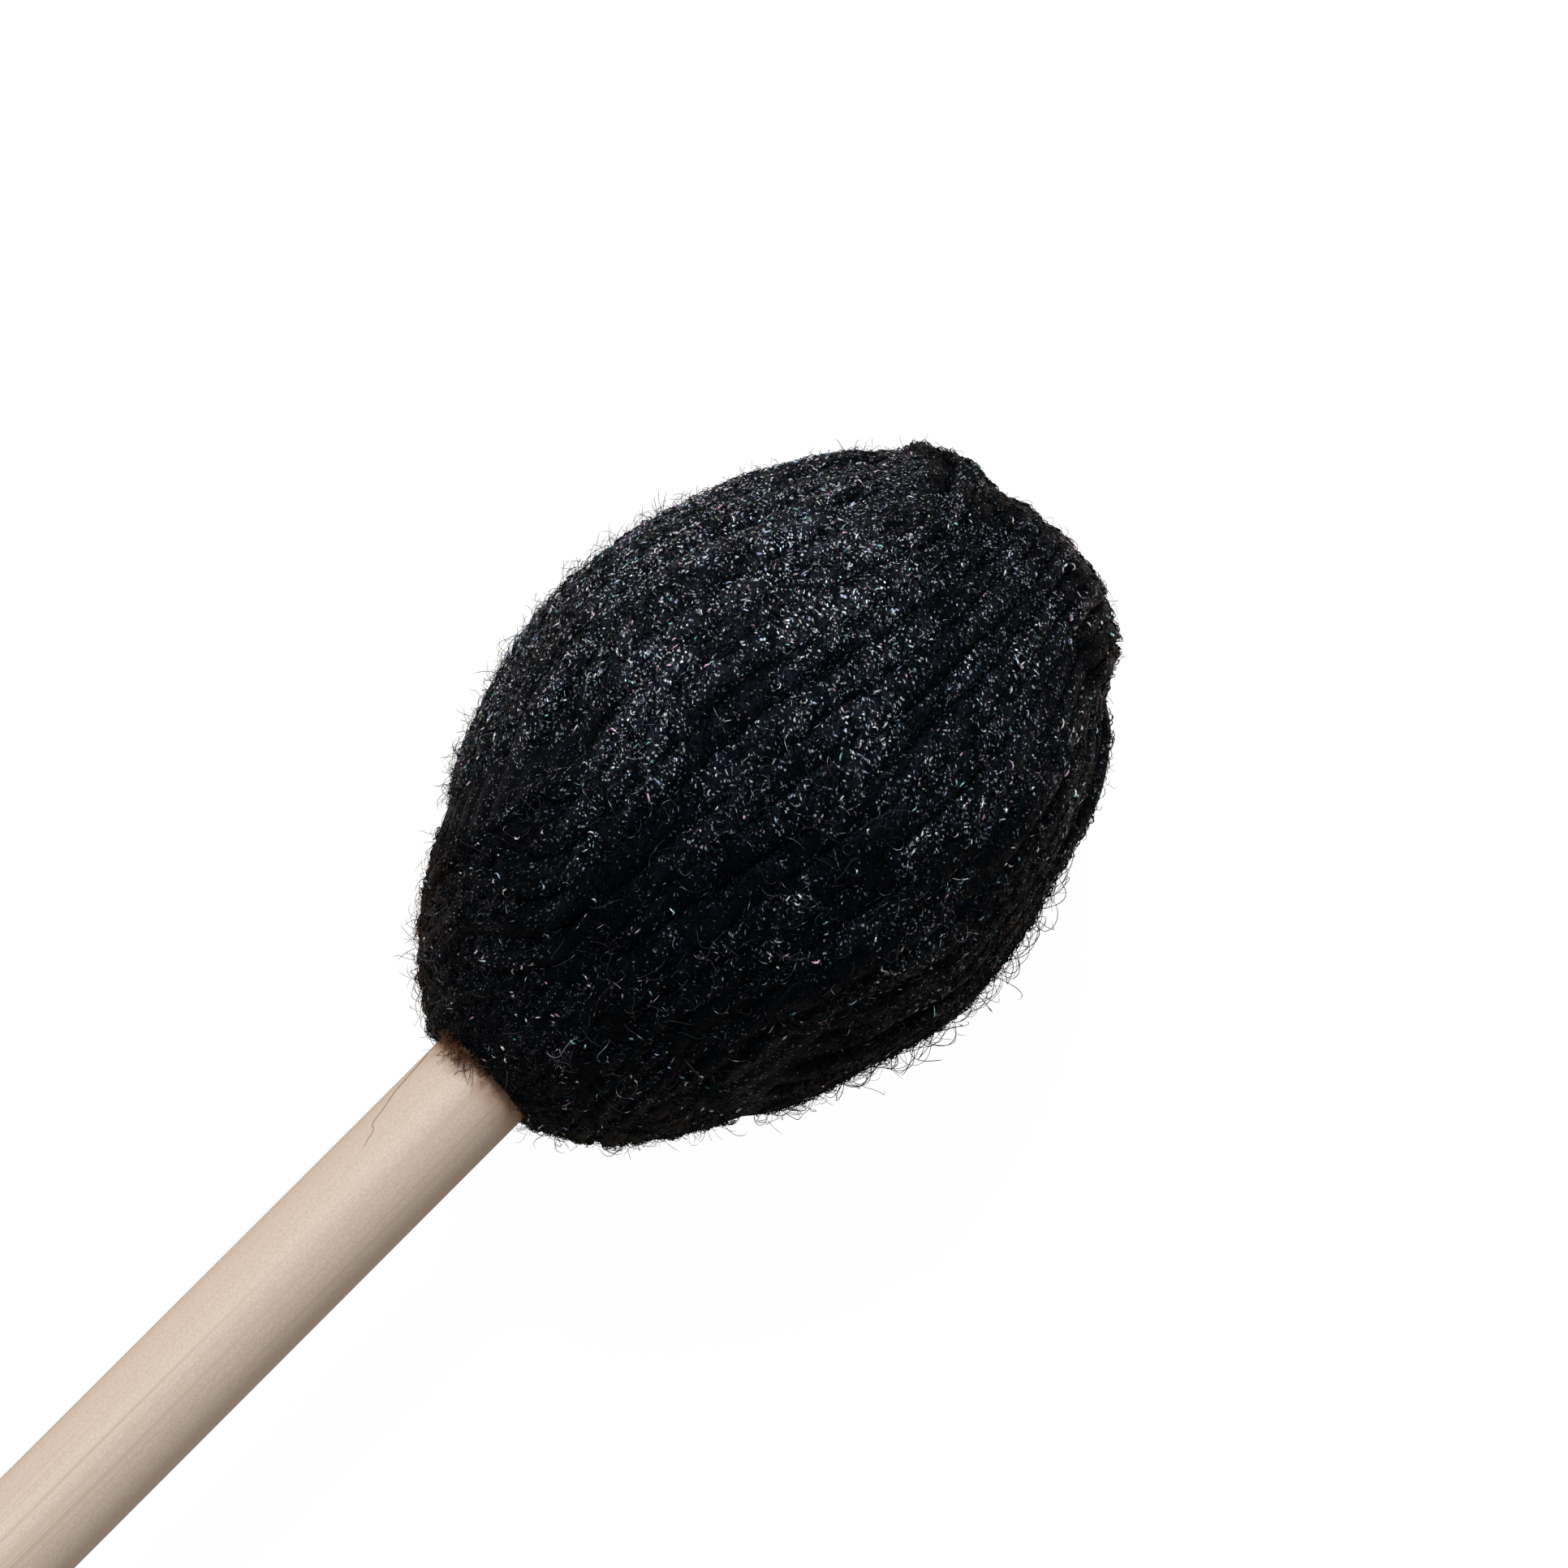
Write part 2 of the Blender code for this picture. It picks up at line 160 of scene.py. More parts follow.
# A value or a colour for each vertex, which the material reads by its name
def setAttribute(piece, name, kind, field, values):
    layer = piece.data.attributes.new(name, kind, "POINT")
    layer.data.foreach_set(field, np.asarray(values, np.float32).ravel())


# Vertex numbers of the quads between neighbouring rings, each ring closed on itself
def ringQuads(rings, sides):
    ring, side = np.meshgrid(np.arange(rings - 1) * sides, np.arange(sides), indexing="ij")
    ahead = (side + 1) % sides
    corners = [ring + side, ring + ahead, ring + sides + ahead, ring + sides + side]
    return np.stack(corners, -1).reshape(-1, 4)


# Rings made a closed surface: a fan of triangles joins the first and the last ring to a pole each
def closeRings(rings, firstPole, lastPole):
    count, sides = rings.shape[:2]
    vertices = np.concatenate([rings.reshape(-1, 3), [firstPole, lastPole]])
    side = np.arange(sides)
    ahead = (side + 1) % sides
    pole = np.full(sides, count * sides)
    last = (count - 1) * sides
    fans = [np.stack([pole, ahead, side], 1), np.stack([pole + 1, last + side, last + ahead], 1)]
    return vertices, ringQuads(count, sides), np.concatenate(fans)


# A profile of radius and height turned about the axis, less its first and last points, which are its poles
def turnedSurface(profile, sides):
    return roundAxis(profile[1:-1, :1], evenAngles(sides), profile[1:-1, 1:])


# Node helpers: what goes into a node is another node's output, which is linked, or else a value

def feed(tree, node, given):
    for name, value in given.items():
        socket = node.inputs[name]
        if isinstance(value, bpy.types.NodeSocket):
            tree.links.new(value, socket)
        else:
            socket.default_value = (*value, 1.0) if socket.type == "RGBA" else value


def addNode(tree, kind, given={}, **settings):
    node = tree.nodes.new(f"ShaderNode{kind}")
    for name, value in settings.items():
        setattr(node, name, value)
    feed(tree, node, given)
    return node


def maths(tree, operation, *values, clamp=False):
    given = dict(enumerate(values))
    return addNode(tree, "Math", given, operation=operation, use_clamp=clamp).outputs["Value"]


def mapping(tree, vector, given):
    return addNode(tree, "Mapping", {"Vector": vector, **given}).outputs["Vector"]


def noise(tree, vector, scale, detail):
    return addNode(tree, "TexNoise", {"Vector": vector, "Scale": scale, "Detail": detail}).outputs["Fac"]


def stretchedNoise(tree, vector, scales, detail):
    return noise(tree, mapping(tree, vector, {"Scale": scales}), 1.0, detail)


def ramp(tree, source, low, high):
    given = {"Value": source, "From Min": low, "From Max": high}
    return addNode(tree, "MapRange", given, interpolation_type="SMOOTHSTEP").outputs["Result"]


def mixed(tree, factor, first, second):
    return addNode(tree, "Mix", {"Factor": factor, "A": first, "B": second}, data_type="RGBA").outputs["Result"]


def bumped(tree, height, strength, distance):
    given = {"Height": height, "Strength": strength, "Distance": distance}
    return addNode(tree, "Bump", given).outputs["Normal"]


def newMaterial(name, finish):
    material = bpy.data.materials.new(name)
    material.use_nodes = True
    tree = material.node_tree
    shader = tree.nodes["Principled BSDF"]
    feed(tree, shader, finish)
    return material, tree, shader


# Two tones mixed by fine noise, which may raise the surface too
def twoToneMaterial(name, look):
    material, tree, shader = newMaterial(name, look["finish"])
    grain = noise(tree, addNode(tree, "TexCoord").outputs["Object"], *look["grain"])
    feed(tree, shader, {"Base Color": mixed(tree, grain, *look["tones"])})
    if "bump" in look:
        feed(tree, shader, {"Normal": bumped(tree, grain, *look["bump"])})
    return material


# Wooden handle: each noise has its scale across the wood, its scale along it and its detail

handleLook = {
    "radius": 3.97 * mm,
    "length": 400.0 * mm,
    "edge": 0.8 * mm,
    "edgeSteps": 7,
    "sides": 128,
    "rows": 160,
    "finish": {"Roughness": 0.5, "Specular IOR Level": 0.35},
    "pale": (0.712, 0.600, 0.507),
    "grain": (0.50, 0.37, 0.275),
    "grainNoise": (2100, 14, 2),
    "grainBand": (0.49, 0.75),
    "broadNoise": (190, 9, 1),
    "broadBand": (0.47, 0.68),
    "fleck": (0.620, 0.485, 0.385),
    "fleckNoise": (9500, 5000, 3),
    "fleckBand": (0.32, 0.72),
    # Brown band by the yarn: partly a stain on the wood, partly painted shade where the yarn meets it
    "stainAndShade": (0.30, 0.120, 0.042),
    "stainAndShadePlace": -28.0 * mm,
    "stainAndShadeLength": 3.8 * mm,
    "stainAndShadeNoise": (700, 700, 2),
    "stainAndShadeRagged": 1.6 * mm,
    "stainAndShadePower": 1.4,
    "bumpNoise": (2600, 60, 3),
    "bump": (0.08, 0.05 * mm),
}


# Grain lines, broad paler bands and flecks along the wood, and a brown band that fades away from the yarn:
# partly a stain on the wood, partly painted shade where the yarn meets it
def handleMaterial():
    look = handleLook
    material, tree, shader = newMaterial("birchDowel", look["finish"])
    place = addNode(tree, "TexCoord").outputs["Object"]
    along = mapping(tree, place, {"Rotation": (0.0, math.asin(axisWay[2]), 0.0)})

    def woodNoise(name):
        acrossScale, alongScale, detail = look[name]
        return stretchedNoise(tree, along, (alongScale, acrossScale, acrossScale), detail)

    grain = ramp(tree, woodNoise("grainNoise"), *look["grainBand"])
    broad = ramp(tree, woodNoise("broadNoise"), *look["broadBand"])
    flecks = ramp(tree, woodNoise("fleckNoise"), *look["fleckBand"])
    colour = mixed(tree, grain, look["pale"], look["grain"])
    colour = mixed(tree, broad, colour, look["pale"])
    colour = mixed(tree, flecks, colour, look["fleck"])
    height = addNode(tree, "SeparateXYZ", {"Vector": along}).outputs["X"]
    ragged = maths(tree, "MULTIPLY_ADD", woodNoise("stainAndShadeNoise"), look["stainAndShadeRagged"], height)
    edge = float(widestPlace @ axisWay) + look["stainAndShadePlace"] + look["stainAndShadeRagged"] / 2
    stainAndShade = maths(tree, "POWER", ramp(tree, ragged, edge - look["stainAndShadeLength"], edge), look["stainAndShadePower"])
    normal = bumped(tree, woodNoise("bumpNoise"), *look["bump"])
    feed(tree, shader, {"Base Color": mixed(tree, stainAndShade, colour, look["stainAndShade"]), "Normal": normal})
    return material


# The dowel's outline: a straight side with a quarter round at each end, turned about the axis. The sides run
# backwards, so that the faces point outwards
def makeHandle():
    look = handleLook
    edge = look["edge"]
    top = look["length"] - lie["buttToWidest"]
    butt = -lie["buttToWidest"]
    inner = look["radius"] - edge
    quarter = np.linspace(0, math.pi / 2, look["edgeSteps"])
    topEdge = np.stack([inner + edge * np.sin(quarter), top - edge + edge * np.cos(quarter)], 1)
    heights = np.linspace(top - edge, butt + edge, look["rows"])[1:-1]
    side = np.stack([np.full(len(heights), look["radius"]), heights], 1)
    buttEdge = topEdge[::-1] * [1, -1] + [0, butt + top]
    topFace, buttFace = [[0, top], [inner / 2, top]], [[inner / 2, butt], [0, butt]]
    profile = np.concatenate([topFace, topEdge, side, buttEdge, buttFace])
    rings = turnedSurface(profile, look["sides"])[:, ::-1]
    vertices, quads, triangles = closeRings(rings, [0, 0, top], [0, 0, butt])
    makePiece("handle_dowel", toWorld(vertices), quads, triangles, handleMaterial(), ("handle",))


makeHandle()


# Outer layer of yarn: one length in 24 loops, over the crown and past the handle

yarn = {
    "seed": 11,
    "loops": 24,
    "bands": 2,
    "diameter": 2.03 * mm,
    "headDiameter": 40.8 * mm,
    "crownHeight": 27.9 * mm,
    "neckHeight": 30.2 * mm,
    "crownFullness": 1.72,
    "neckFullness": 1.52,
    "rimLimit": 0.99999,  # shares of the reach that the formulas don't pass
    "bendLimit": 0.995,
    "diveLimit": 0.98,
    "twist": math.radians(25.0),
    "crownLane": 1.50 * mm,
    "neckLane": 1.36 * mm,
    "turnGap": 0.52 * mm,
    "turnIn": 14.5 * mm,
    "crossingSpare": 0.35 * mm,
    "cornerSpare": 0.6 * mm,
    "diveLength": 4.5 * mm,
    "handleHole": 4.27 * mm,
    "samples": 124,
    "sides": 16,
    "widthShare": 0.68,
    "heightWide": 0.92 * mm,
    "heightLane": 0.86 * mm,
    "plies": 3,
    "plyDepth": 0.05,
    "plyLength": 7.5 * mm,
    "sideWander": (0.30 * mm, 190),  # amount, and cycles along the whole yarn
    "riseWander": (0.20 * mm, 150),
    "widthWander": (0.08, 260),
    "heightWander": (0.09, 430),
    "roomPower": 1.2,
}
woundRadius = (yarn["headDiameter"] - yarn["diameter"]) / 2
strandStep = math.pi / yarn["loops"]
loopsInBand = yarn["loops"] // yarn["bands"]


# How far apart the lanes are over the crown or past the handle
def lanePitch(side):
    return yarn["crownLane"] if side > 0 else yarn["neckLane"]


# A full ellipse: radius squared, and height to the power of the fullness, as shares, add up to 1. Gives the
# radius and the height of a point at a rise over it, and the way that is square to it
def headSurface(radius, side, rise):
    height = (yarn["crownHeight"] if side > 0 else yarn["neckHeight"]) - yarn["diameter"] / 2
    fullness = yarn["crownFullness"] if side > 0 else yarn["neckFullness"]
    radius = np.minimum(radius, woundRadius * yarn["rimLimit"])
    z = height * (1.0 - (radius / woundRadius) ** 2) ** (1.0 / fullness)
    out = 2.0 * radius / woundRadius ** 2
    up = fullness * z ** (fullness - 1.0) / height ** fullness
    length = np.hypot(out, up)
    return radius + rise * out / length, side * (z + rise * up / length), out / length, side * up / length


# A strand's place sideways in its lane: even steps from the middle, and at the neck from the handle's hole
def lane(strand, side):
    place = strand - (loopsInBand - 1) / 2
    if side > 0:
        return place * yarn["crownLane"]
    first = yarn["handleHole"] + (yarn["neckLane"] - yarn["turnGap"]) / 2
    return math.copysign(first + (abs(place) - 0.5) * yarn["neckLane"], place)


# One strand from widest place to widest place: from its own meridian it bends into its lane, and the lower
# band dives under the upper one where they cross. Gives points, outward ways, spacing and how deep it lies
def strandPath(strand, band, side):
    half = yarn["samples"] // 2
    across = (np.arange(2 * half) + 0.5) / half - 1.0
    meridian = (strand - (loopsInBand - 1) / 2) * strandStep
    turn = (band + 1) * math.pi / yarn["bands"] + strandStep / 2
    if side < 0:
        meridian += strandStep / 2
        turn += strandStep / 2
    offset = lane(strand, side)
    outermost = abs(lane(0, side))
    innermost = abs(lane(loopsInBand // 2, side))
    reach = woundRadius * math.cos(meridian)
    along = reach * np.sin(np.abs(across) * math.pi / 2)
    onMeridian = along * math.tan(meridian)
    bendStart = min(yarn["turnIn"], reach * yarn["bendLimit"])
    bendEnd = outermost if side > 0 else abs(offset)
    inLane = smooth((bendStart - along) / (bendStart - bendEnd))
    aside = onMeridian + (offset - onMeridian) * inLane
    radius = np.hypot(along, aside)
    diveEnd = outermost + yarn["cornerSpare"]
    diveStart = min(outermost + yarn["diveLength"], reach * yarn["diveLimit"])
    bandStep = lanePitch(side) + yarn["crossingSpare"]
    dived = smooth((diveStart - along) / (diveStart - diveEnd)) * (yarn["bands"] - 1 - band)
    newRadius, z, out, up = headSurface(radius, side, -bandStep * dived)
    if side < 0:
        besideHandle = smooth((outermost - radius) / (outermost - innermost))
        newRadius = newRadius + (radius - newRadius) * besideHandle
    x = -np.sign(across) * along * newRadius / radius
    y = aside * newRadius / radius
    points = turnedBy(np.stack([x, y, z], 1), turn)
    level = np.linalg.norm(points[:, :2], axis=1, keepdims=True)
    outward = np.concatenate([points[:, :2] / level * out[:, None], up[:, None]], 1)
    spacing = radius * strandStep * (1 - inLane) + lanePitch(side) * inLane
    return points, outward, spacing, inLane, dived


# All the loops as one run, in the order in which they are wound, each point turned about the axis by its
# height's share of the strands' lean
def windingRun():
    runs = []
    for number in range(yarn["loops"]):
        band, strand = divmod(number, loopsInBand)
        runs.append(strandPath(strand, band, 1))
        runs.append([part[::-1] for part in strandPath(strand, band, -1)])
    points, outward, spacing, inLane, dived = (np.concatenate(parts) for parts in zip(*runs))
    angle = yarn["twist"] * points[:, 2] / (yarn["crownHeight"] + yarn["neckHeight"])
    return turnedBy(points, angle), turnedBy(outward, angle), spacing, inLane, dived


# Painted light and shade in the yarn's glints and soft tone: random patches, painted shade toward the neck and
# over the crown, and painted light on the left side, which faces the lamp
paintedLightPlan = {
    "patches": (0.42, 0.72),  # everywhere, and more in the patches
    "patchContrast": 0.38,
    "patchCycles": 260,
    "neckToCrown": (-24.0 * mm, 13.0 * mm),
    "atNeck": 0.26,
    # By side: painted light on the left side, the lamp's side
    "bySide": (0.68, 0.26, 1.80),  # everywhere, with the place to the left, and with its cube on the left side
    "crownFrom": 11.0 * mm,
    "crownReach": 8.0 * mm,
    "crownLoss": 0.30,
    "inGrooves": 0.32,
    "grooveEdge": 0.28,
}


# The yarn's path as it is laid: its middle wanders a little to the side and up, it is as wide as the strands'
# spacing asks, and it carries a painted light level for its glints: in patches, with painted shade at the neck
# and over the crown, and painted light on the left side, the lamp's side
def shapeYarn():
    rng = np.random.default_rng(yarn["seed"])
    points, outward, spacing, inLane, dived = windingRun()
    ways = unit(np.gradient(points, axis=0))
    sideways = unit(np.cross(ways, outward))
    outward = np.cross(sideways, ways)
    length = np.concatenate([[0], np.cumsum(np.linalg.norm(np.diff(points, axis=0), axis=1))])
    room = np.clip(spacing / (woundRadius * strandStep), 0.0, 1.0) ** yarn["roomPower"]

    def wandering(name):
        amount, cycles = yarn[name]
        return wander(rng, len(points), cycles) * amount

    points = points + sideways * (wandering("sideWander") * room)[:, None]
    points = points + outward * (wandering("riseWander") * room * (1 - dived))[:, None]
    halfWidth = spacing * yarn["widthShare"] * (1 + wandering("widthWander"))
    halfHeight = yarn["heightWide"] + (yarn["heightLane"] - yarn["heightWide"]) * inLane
    halfHeight = halfHeight * (1 + wandering("heightWander"))
    least, more = paintedLightPlan["patches"]
    patch = wander(rng, len(points), paintedLightPlan["patchCycles"])
    paintedLight = least + more * smooth(0.5 + paintedLightPlan["patchContrast"] * patch)
    low, high = paintedLightPlan["neckToCrown"]
    paintedLight *= paintedLightPlan["atNeck"] + (1 - paintedLightPlan["atNeck"]) * smooth((points[:, 2] - low) / (high - low))
    level, slope, cubed = paintedLightPlan["bySide"]
    aside = points[:, 1] / woundRadius
    paintedLight *= level + slope * aside + cubed * np.maximum(aside, 0.0) ** 3
    overCrown = smooth((points[:, 2] - paintedLightPlan["crownFrom"]) / paintedLightPlan["crownReach"])
    paintedLight *= 1 - paintedLightPlan["crownLoss"] * overCrown
    return {"points": points, "ways": ways, "sideways": sideways, "outward": outward, "halfWidth": halfWidth,
            "halfHeight": halfHeight, "length": length, "dived": dived, "paintedLight": paintedLight}


# How much painted light the yarn's glints carry at an angle round its section: most on top, hardly any down in
# the grooves, which paints shade there
def paintedLightAt(paintedLight, angle):
    onTop = np.clip((np.sin(angle) - paintedLightPlan["grooveEdge"]) / (1 - paintedLightPlan["grooveEdge"]), 0, 1)
    return paintedLight * (paintedLightPlan["inGrooves"] + (1 - paintedLightPlan["inGrooves"]) * onTop)


# Points on the yarn's skin: its section is an ellipse with three soft lobes that turn along the yarn
def yarnSection(run, angle):
    plyTurn = math.tau * run["length"] / yarn["plyLength"]
    lobes = 1 + yarn["plyDepth"] * np.cos(yarn["plies"] * angle - plyTurn)
    x = run["halfWidth"] * np.cos(angle) * lobes
    y = run["halfHeight"] * np.sin(angle) * lobes
    return run["points"] + run["sideways"] * x[..., None] + run["outward"] * y[..., None]


coolTint = (0.66, 0.84, 1.0)
yarnLook = {
    "finish": {"Specular IOR Level": 0.05, "Specular Tint": coolTint, "Roughness": 0.42},
    "dark": (0.0005, 0.0013, 0.0023),
    "soft": (0.027, 0.030, 0.044),
    "coarse": (24, 1.4, 0.35, 3),  # slant in degrees, scales across and along, detail
    "fine": (30, 6.0, 1.6, 2),
    "clumps": (0.36, 0.66),
    "bump": (0.9, 0.25 * mm),
    "bend": {"Scale": 1.3, "Detail": 1.0},
    "bendReach": 0.55,
    "spot": (0.42, 0.10),
    "spotSize": (-0.8, 1.6),
    "spotPower": 2.6,
    # Painted glints: slant in degrees, cells across and along, share of them that is lit, and strength
    "dashes": [(35, (7.4, 3.6), 0.32, 2.7), (-28, (6.2, 3.4), 0.26, 2.2), (75, (8.0, 4.8), 0.42, 1.0)],
    "hues": [
        (0.0, (0.52, 0.62, 0.94)),
        (0.3, (0.80, 0.84, 0.96)),
        (0.62, (0.95, 0.93, 0.94)),
        (0.82, (0.46, 0.76, 0.80)),
        (1.0, (0.86, 0.50, 0.74)),
    ],
    "dashShine": 0.50,
    "glintCutInShade": 0.09,
}


# Painted glints: short dashes of light on dark yarn, put into the base colour: cells of a stretched, turned
# map, some of them lit in their middle
def makeDashGroup():
    look = yarnLook
    group = bpy.data.node_groups.new("paintedGlintDashes", "ShaderNodeTree")
    for way, kind, names in (("INPUT", "Vector", ("Vector", "Turn", "Cells")), ("INPUT", "Float", ("Share",)),
                             ("OUTPUT", "Float", ("Mask", "Hue"))):
        for name in names:
            group.interface.new_socket(name, in_out=way, socket_type=f"NodeSocket{kind}")
    given = group.nodes.new("NodeGroupInput").outputs
    result = group.nodes.new("NodeGroupOutput")
    bend = addNode(group, "TexNoise", {"Vector": given["Vector"], **look["bend"]}).outputs["Color"]
    moves = {0: bend, 1: (look["bendReach"],) * 3, 2: given["Vector"]}
    moved = addNode(group, "VectorMath", moves, operation="MULTIPLY_ADD").outputs["Vector"]
    sized = mapping(group, mapping(group, moved, {"Rotation": given["Turn"]}), {"Scale": given["Cells"]})
    cells = addNode(group, "TexVoronoi", {"Vector": sized, "Scale": 1.0}, voronoi_dimensions="2D").outputs
    pick = addNode(group, "SeparateColor", {"Color": cells["Color"]}).outputs
    larger = maths(group, "MULTIPLY_ADD", pick["Green"], *look["spotSize"])
    spot = ramp(group, maths(group, "MULTIPLY", cells["Distance"], larger), *look["spot"])
    lit = maths(group, "LESS_THAN", pick["Red"], given["Share"])
    strength = maths(group, "MULTIPLY", lit, maths(group, "POWER", pick["Green"], look["spotPower"]))
    feed(group, result, {"Mask": maths(group, "MULTIPLY", strength, spot), "Hue": pick["Blue"]})
    return group


# Near-black yarn, softer where fibres clump, with three layers of dashes of painted glints in the base colour.
# All of it follows the painted light level, which paints light on the lamp's side and shade by the neck, over
# the crown and in the grooves
def yarnMaterial(name):
    look = yarnLook
    material, tree, shader = newMaterial(name, look["finish"])
    strandMap = addNode(tree, "UVMap", uv_map="Strand").outputs["UV"]
    paintedLight = addNode(tree, "Attribute", attribute_name="PaintedLight").outputs["Fac"]

    # Fibres that wind about the strand: noise drawn out along a slanted way of the strand's own map
    def fibreNoise(slant, acrossScale, alongScale, detail):
        turned = mapping(tree, strandMap, {"Rotation": (0.0, 0.0, math.radians(slant))})
        return stretchedNoise(tree, turned, (acrossScale, alongScale, 1.0), detail)

    # The ramp has a tone at each end from the start, and the others are added between them
    def hueOf(source):
        node = addNode(tree, "ValToRGB", {"Fac": source})
        elements = node.color_ramp.elements
        elements[0].color = (*look["hues"][0][1], 1.0)
        elements[1].color = (*look["hues"][-1][1], 1.0)
        for place, tone in look["hues"][1:-1]:
            elements.new(place).color = (*tone, 1.0)
        return node.outputs["Color"]

    coarse = fibreNoise(*look["coarse"])
    fine = fibreNoise(*look["fine"])
    softness = maths(tree, "MULTIPLY", ramp(tree, coarse, *look["clumps"]), fine)
    colour = mixed(tree, maths(tree, "MULTIPLY", softness, paintedLight), look["dark"], look["soft"])
    # Fewer painted glints where the painted light level is low, which paints shade there
    cutInShade = maths(tree, "MULTIPLY", maths(tree, "SUBTRACT", 1.0, paintedLight, clamp=True), -look["glintCutInShade"])
    shine = 0.0
    for slant, cells, share, strength in look["dashes"]:
        given = {"Vector": strandMap, "Turn": (0.0, 0.0, math.radians(slant)), "Cells": (*cells, 1.0)}
        dash = addNode(tree, "Group", {**given, "Share": share}, node_tree=dashGroup).outputs
        level = maths(tree, "MULTIPLY", dash["Mask"], strength)
        lit = maths(tree, "MULTIPLY_ADD", level, paintedLight, cutInShade, clamp=True)
        colour = mixed(tree, lit, colour, hueOf(dash["Hue"]))
        shine = maths(tree, "MAXIMUM", shine, lit)
    metallic = maths(tree, "MULTIPLY", shine, look["dashShine"])
    normal = bumped(tree, maths(tree, "ADD", coarse, fine), *look["bump"])
    feed(tree, shader, {"Base Color": colour, "Metallic": metallic, "Normal": normal})
    return material


crowding = {
    "seed": 6,
    "waves": 26,
    "lengths": (0.9 * mm, 6.0 * mm),
    "stretch": 0.6,
    "spread": 1.1,
    "range": (0.15, 0.95),
    "onYarn": (0.46, 0.76),
}


# Where the painted glints crowd together: waves in random directions, added up and drawn out to about 0 to 1
def clumpAt(points):
    rng = np.random.default_rng(crowding["seed"])
    waves, spread = crowding["waves"], crowding["spread"]
    ways = unit(rng.normal(size=(waves, 3)))
    lengths = np.geomspace(*crowding["lengths"], waves)
    phases = rng.uniform(0, math.tau, waves)
    drawnOut = points * [1.0, 1.0, crowding["stretch"]]
    total = np.cos(drawnOut @ ways.T * (math.tau / lengths) + phases).sum(-1) / math.sqrt(waves / 2)
    least, more = crowding["range"]
    return least + more * smooth((total + spread) / (2 * spread))


# The strand's own map, in millimetres round the section and along the strand. Where a quad closes its ring,
# its far corners are one perimeter further on
def setStrandMap(piece, around, along, quads, triangles, perimeter):
    corners = np.concatenate([quads.ravel(), triangles.ravel()])
    u, v = around[corners], along[corners]
    faces = u[:quads.size].reshape(-1, 4)
    wrapped = np.ptp(faces, axis=1) > perimeter / 2
    faces[wrapped] += np.where(faces[wrapped] < perimeter / 2, perimeter, 0.0)
    layer = piece.data.uv_layers.new(name="Strand")
    layer.data.foreach_set("uv", np.stack([u, v], 1).astype(np.float32).ravel())


yarnRun = shapeYarn()
dashGroup = makeDashGroup()
yarnBlack = yarnMaterial("woundYarn")
print(f"yarn laid: {yarnRun['length'][-1]:.2f} m along its path")


# The yarn's sections along its run, pressed level where they would reach the floor
def makeYarn():
    count, sides = len(yarnRun["points"]), yarn["sides"]
    angle = evenAngles(sides)
    sections = np.stack([yarnSection(yarnRun, each) for each in angle], 1)
    rings = headToWorld(sections)
    rings[..., 2] = np.maximum(rings[..., 2], lie["floorGap"])
    vertices, quads, triangles = closeRings(rings, rings[0].mean(0), rings[-1].mean(0))
    piece = makePiece("yarn_winding", vertices, quads, triangles, yarnBlack, ("outer_winding",))
    perimeter = math.pi * yarn["diameter"] / mm
    length = yarnRun["length"] / mm
    around = np.concatenate([np.tile(angle / math.tau * perimeter, count), [0, 0]])
    along = np.concatenate([np.repeat(length, sides), [0, length[-1]]])
    setStrandMap(piece, around, along, quads, triangles, perimeter)
    least, more = crowding["onYarn"]
    paintedLight = paintedLightAt(yarnRun["paintedLight"][:, None], angle) * (least + more * clumpAt(sections))
    setAttribute(piece, "PaintedLight", "FLOAT", "value", np.concatenate([paintedLight.ravel(), [0, 0]]))


makeYarn()


# Layers of yarn under the outer one, which show between the strands

underLook = {
    "rows": 150,
    "sides": 360,
    "drop": 0.10 * mm,  # under the middles of the strands. At the crown and the neck it comes out over them
    "dropCrown": -0.35 * mm,
    "dropNeck": -0.62 * mm,
    "dropWithin": 10.5 * mm,  # all of it within this radius
    "strands": 44,
    "lean": -0.9,
    "relief": 0.45 * mm,
    "ridgePower": 0.7,
    "ridgeMiddle": 0.6,
    "leastRadius": 6.0 * mm,
    "level": 4.0 * mm,
    "mapSteps": (0.35, 0.5),
    "paintedLight": (0.18, 0.40),
    "paintedLightReach": 14.0 * mm,
}


# How far the under-layers end up under the strands at the crown or the neck
def dropAt(side):
    return underLook["dropCrown"] if side > 0 else underLook["dropNeck"]


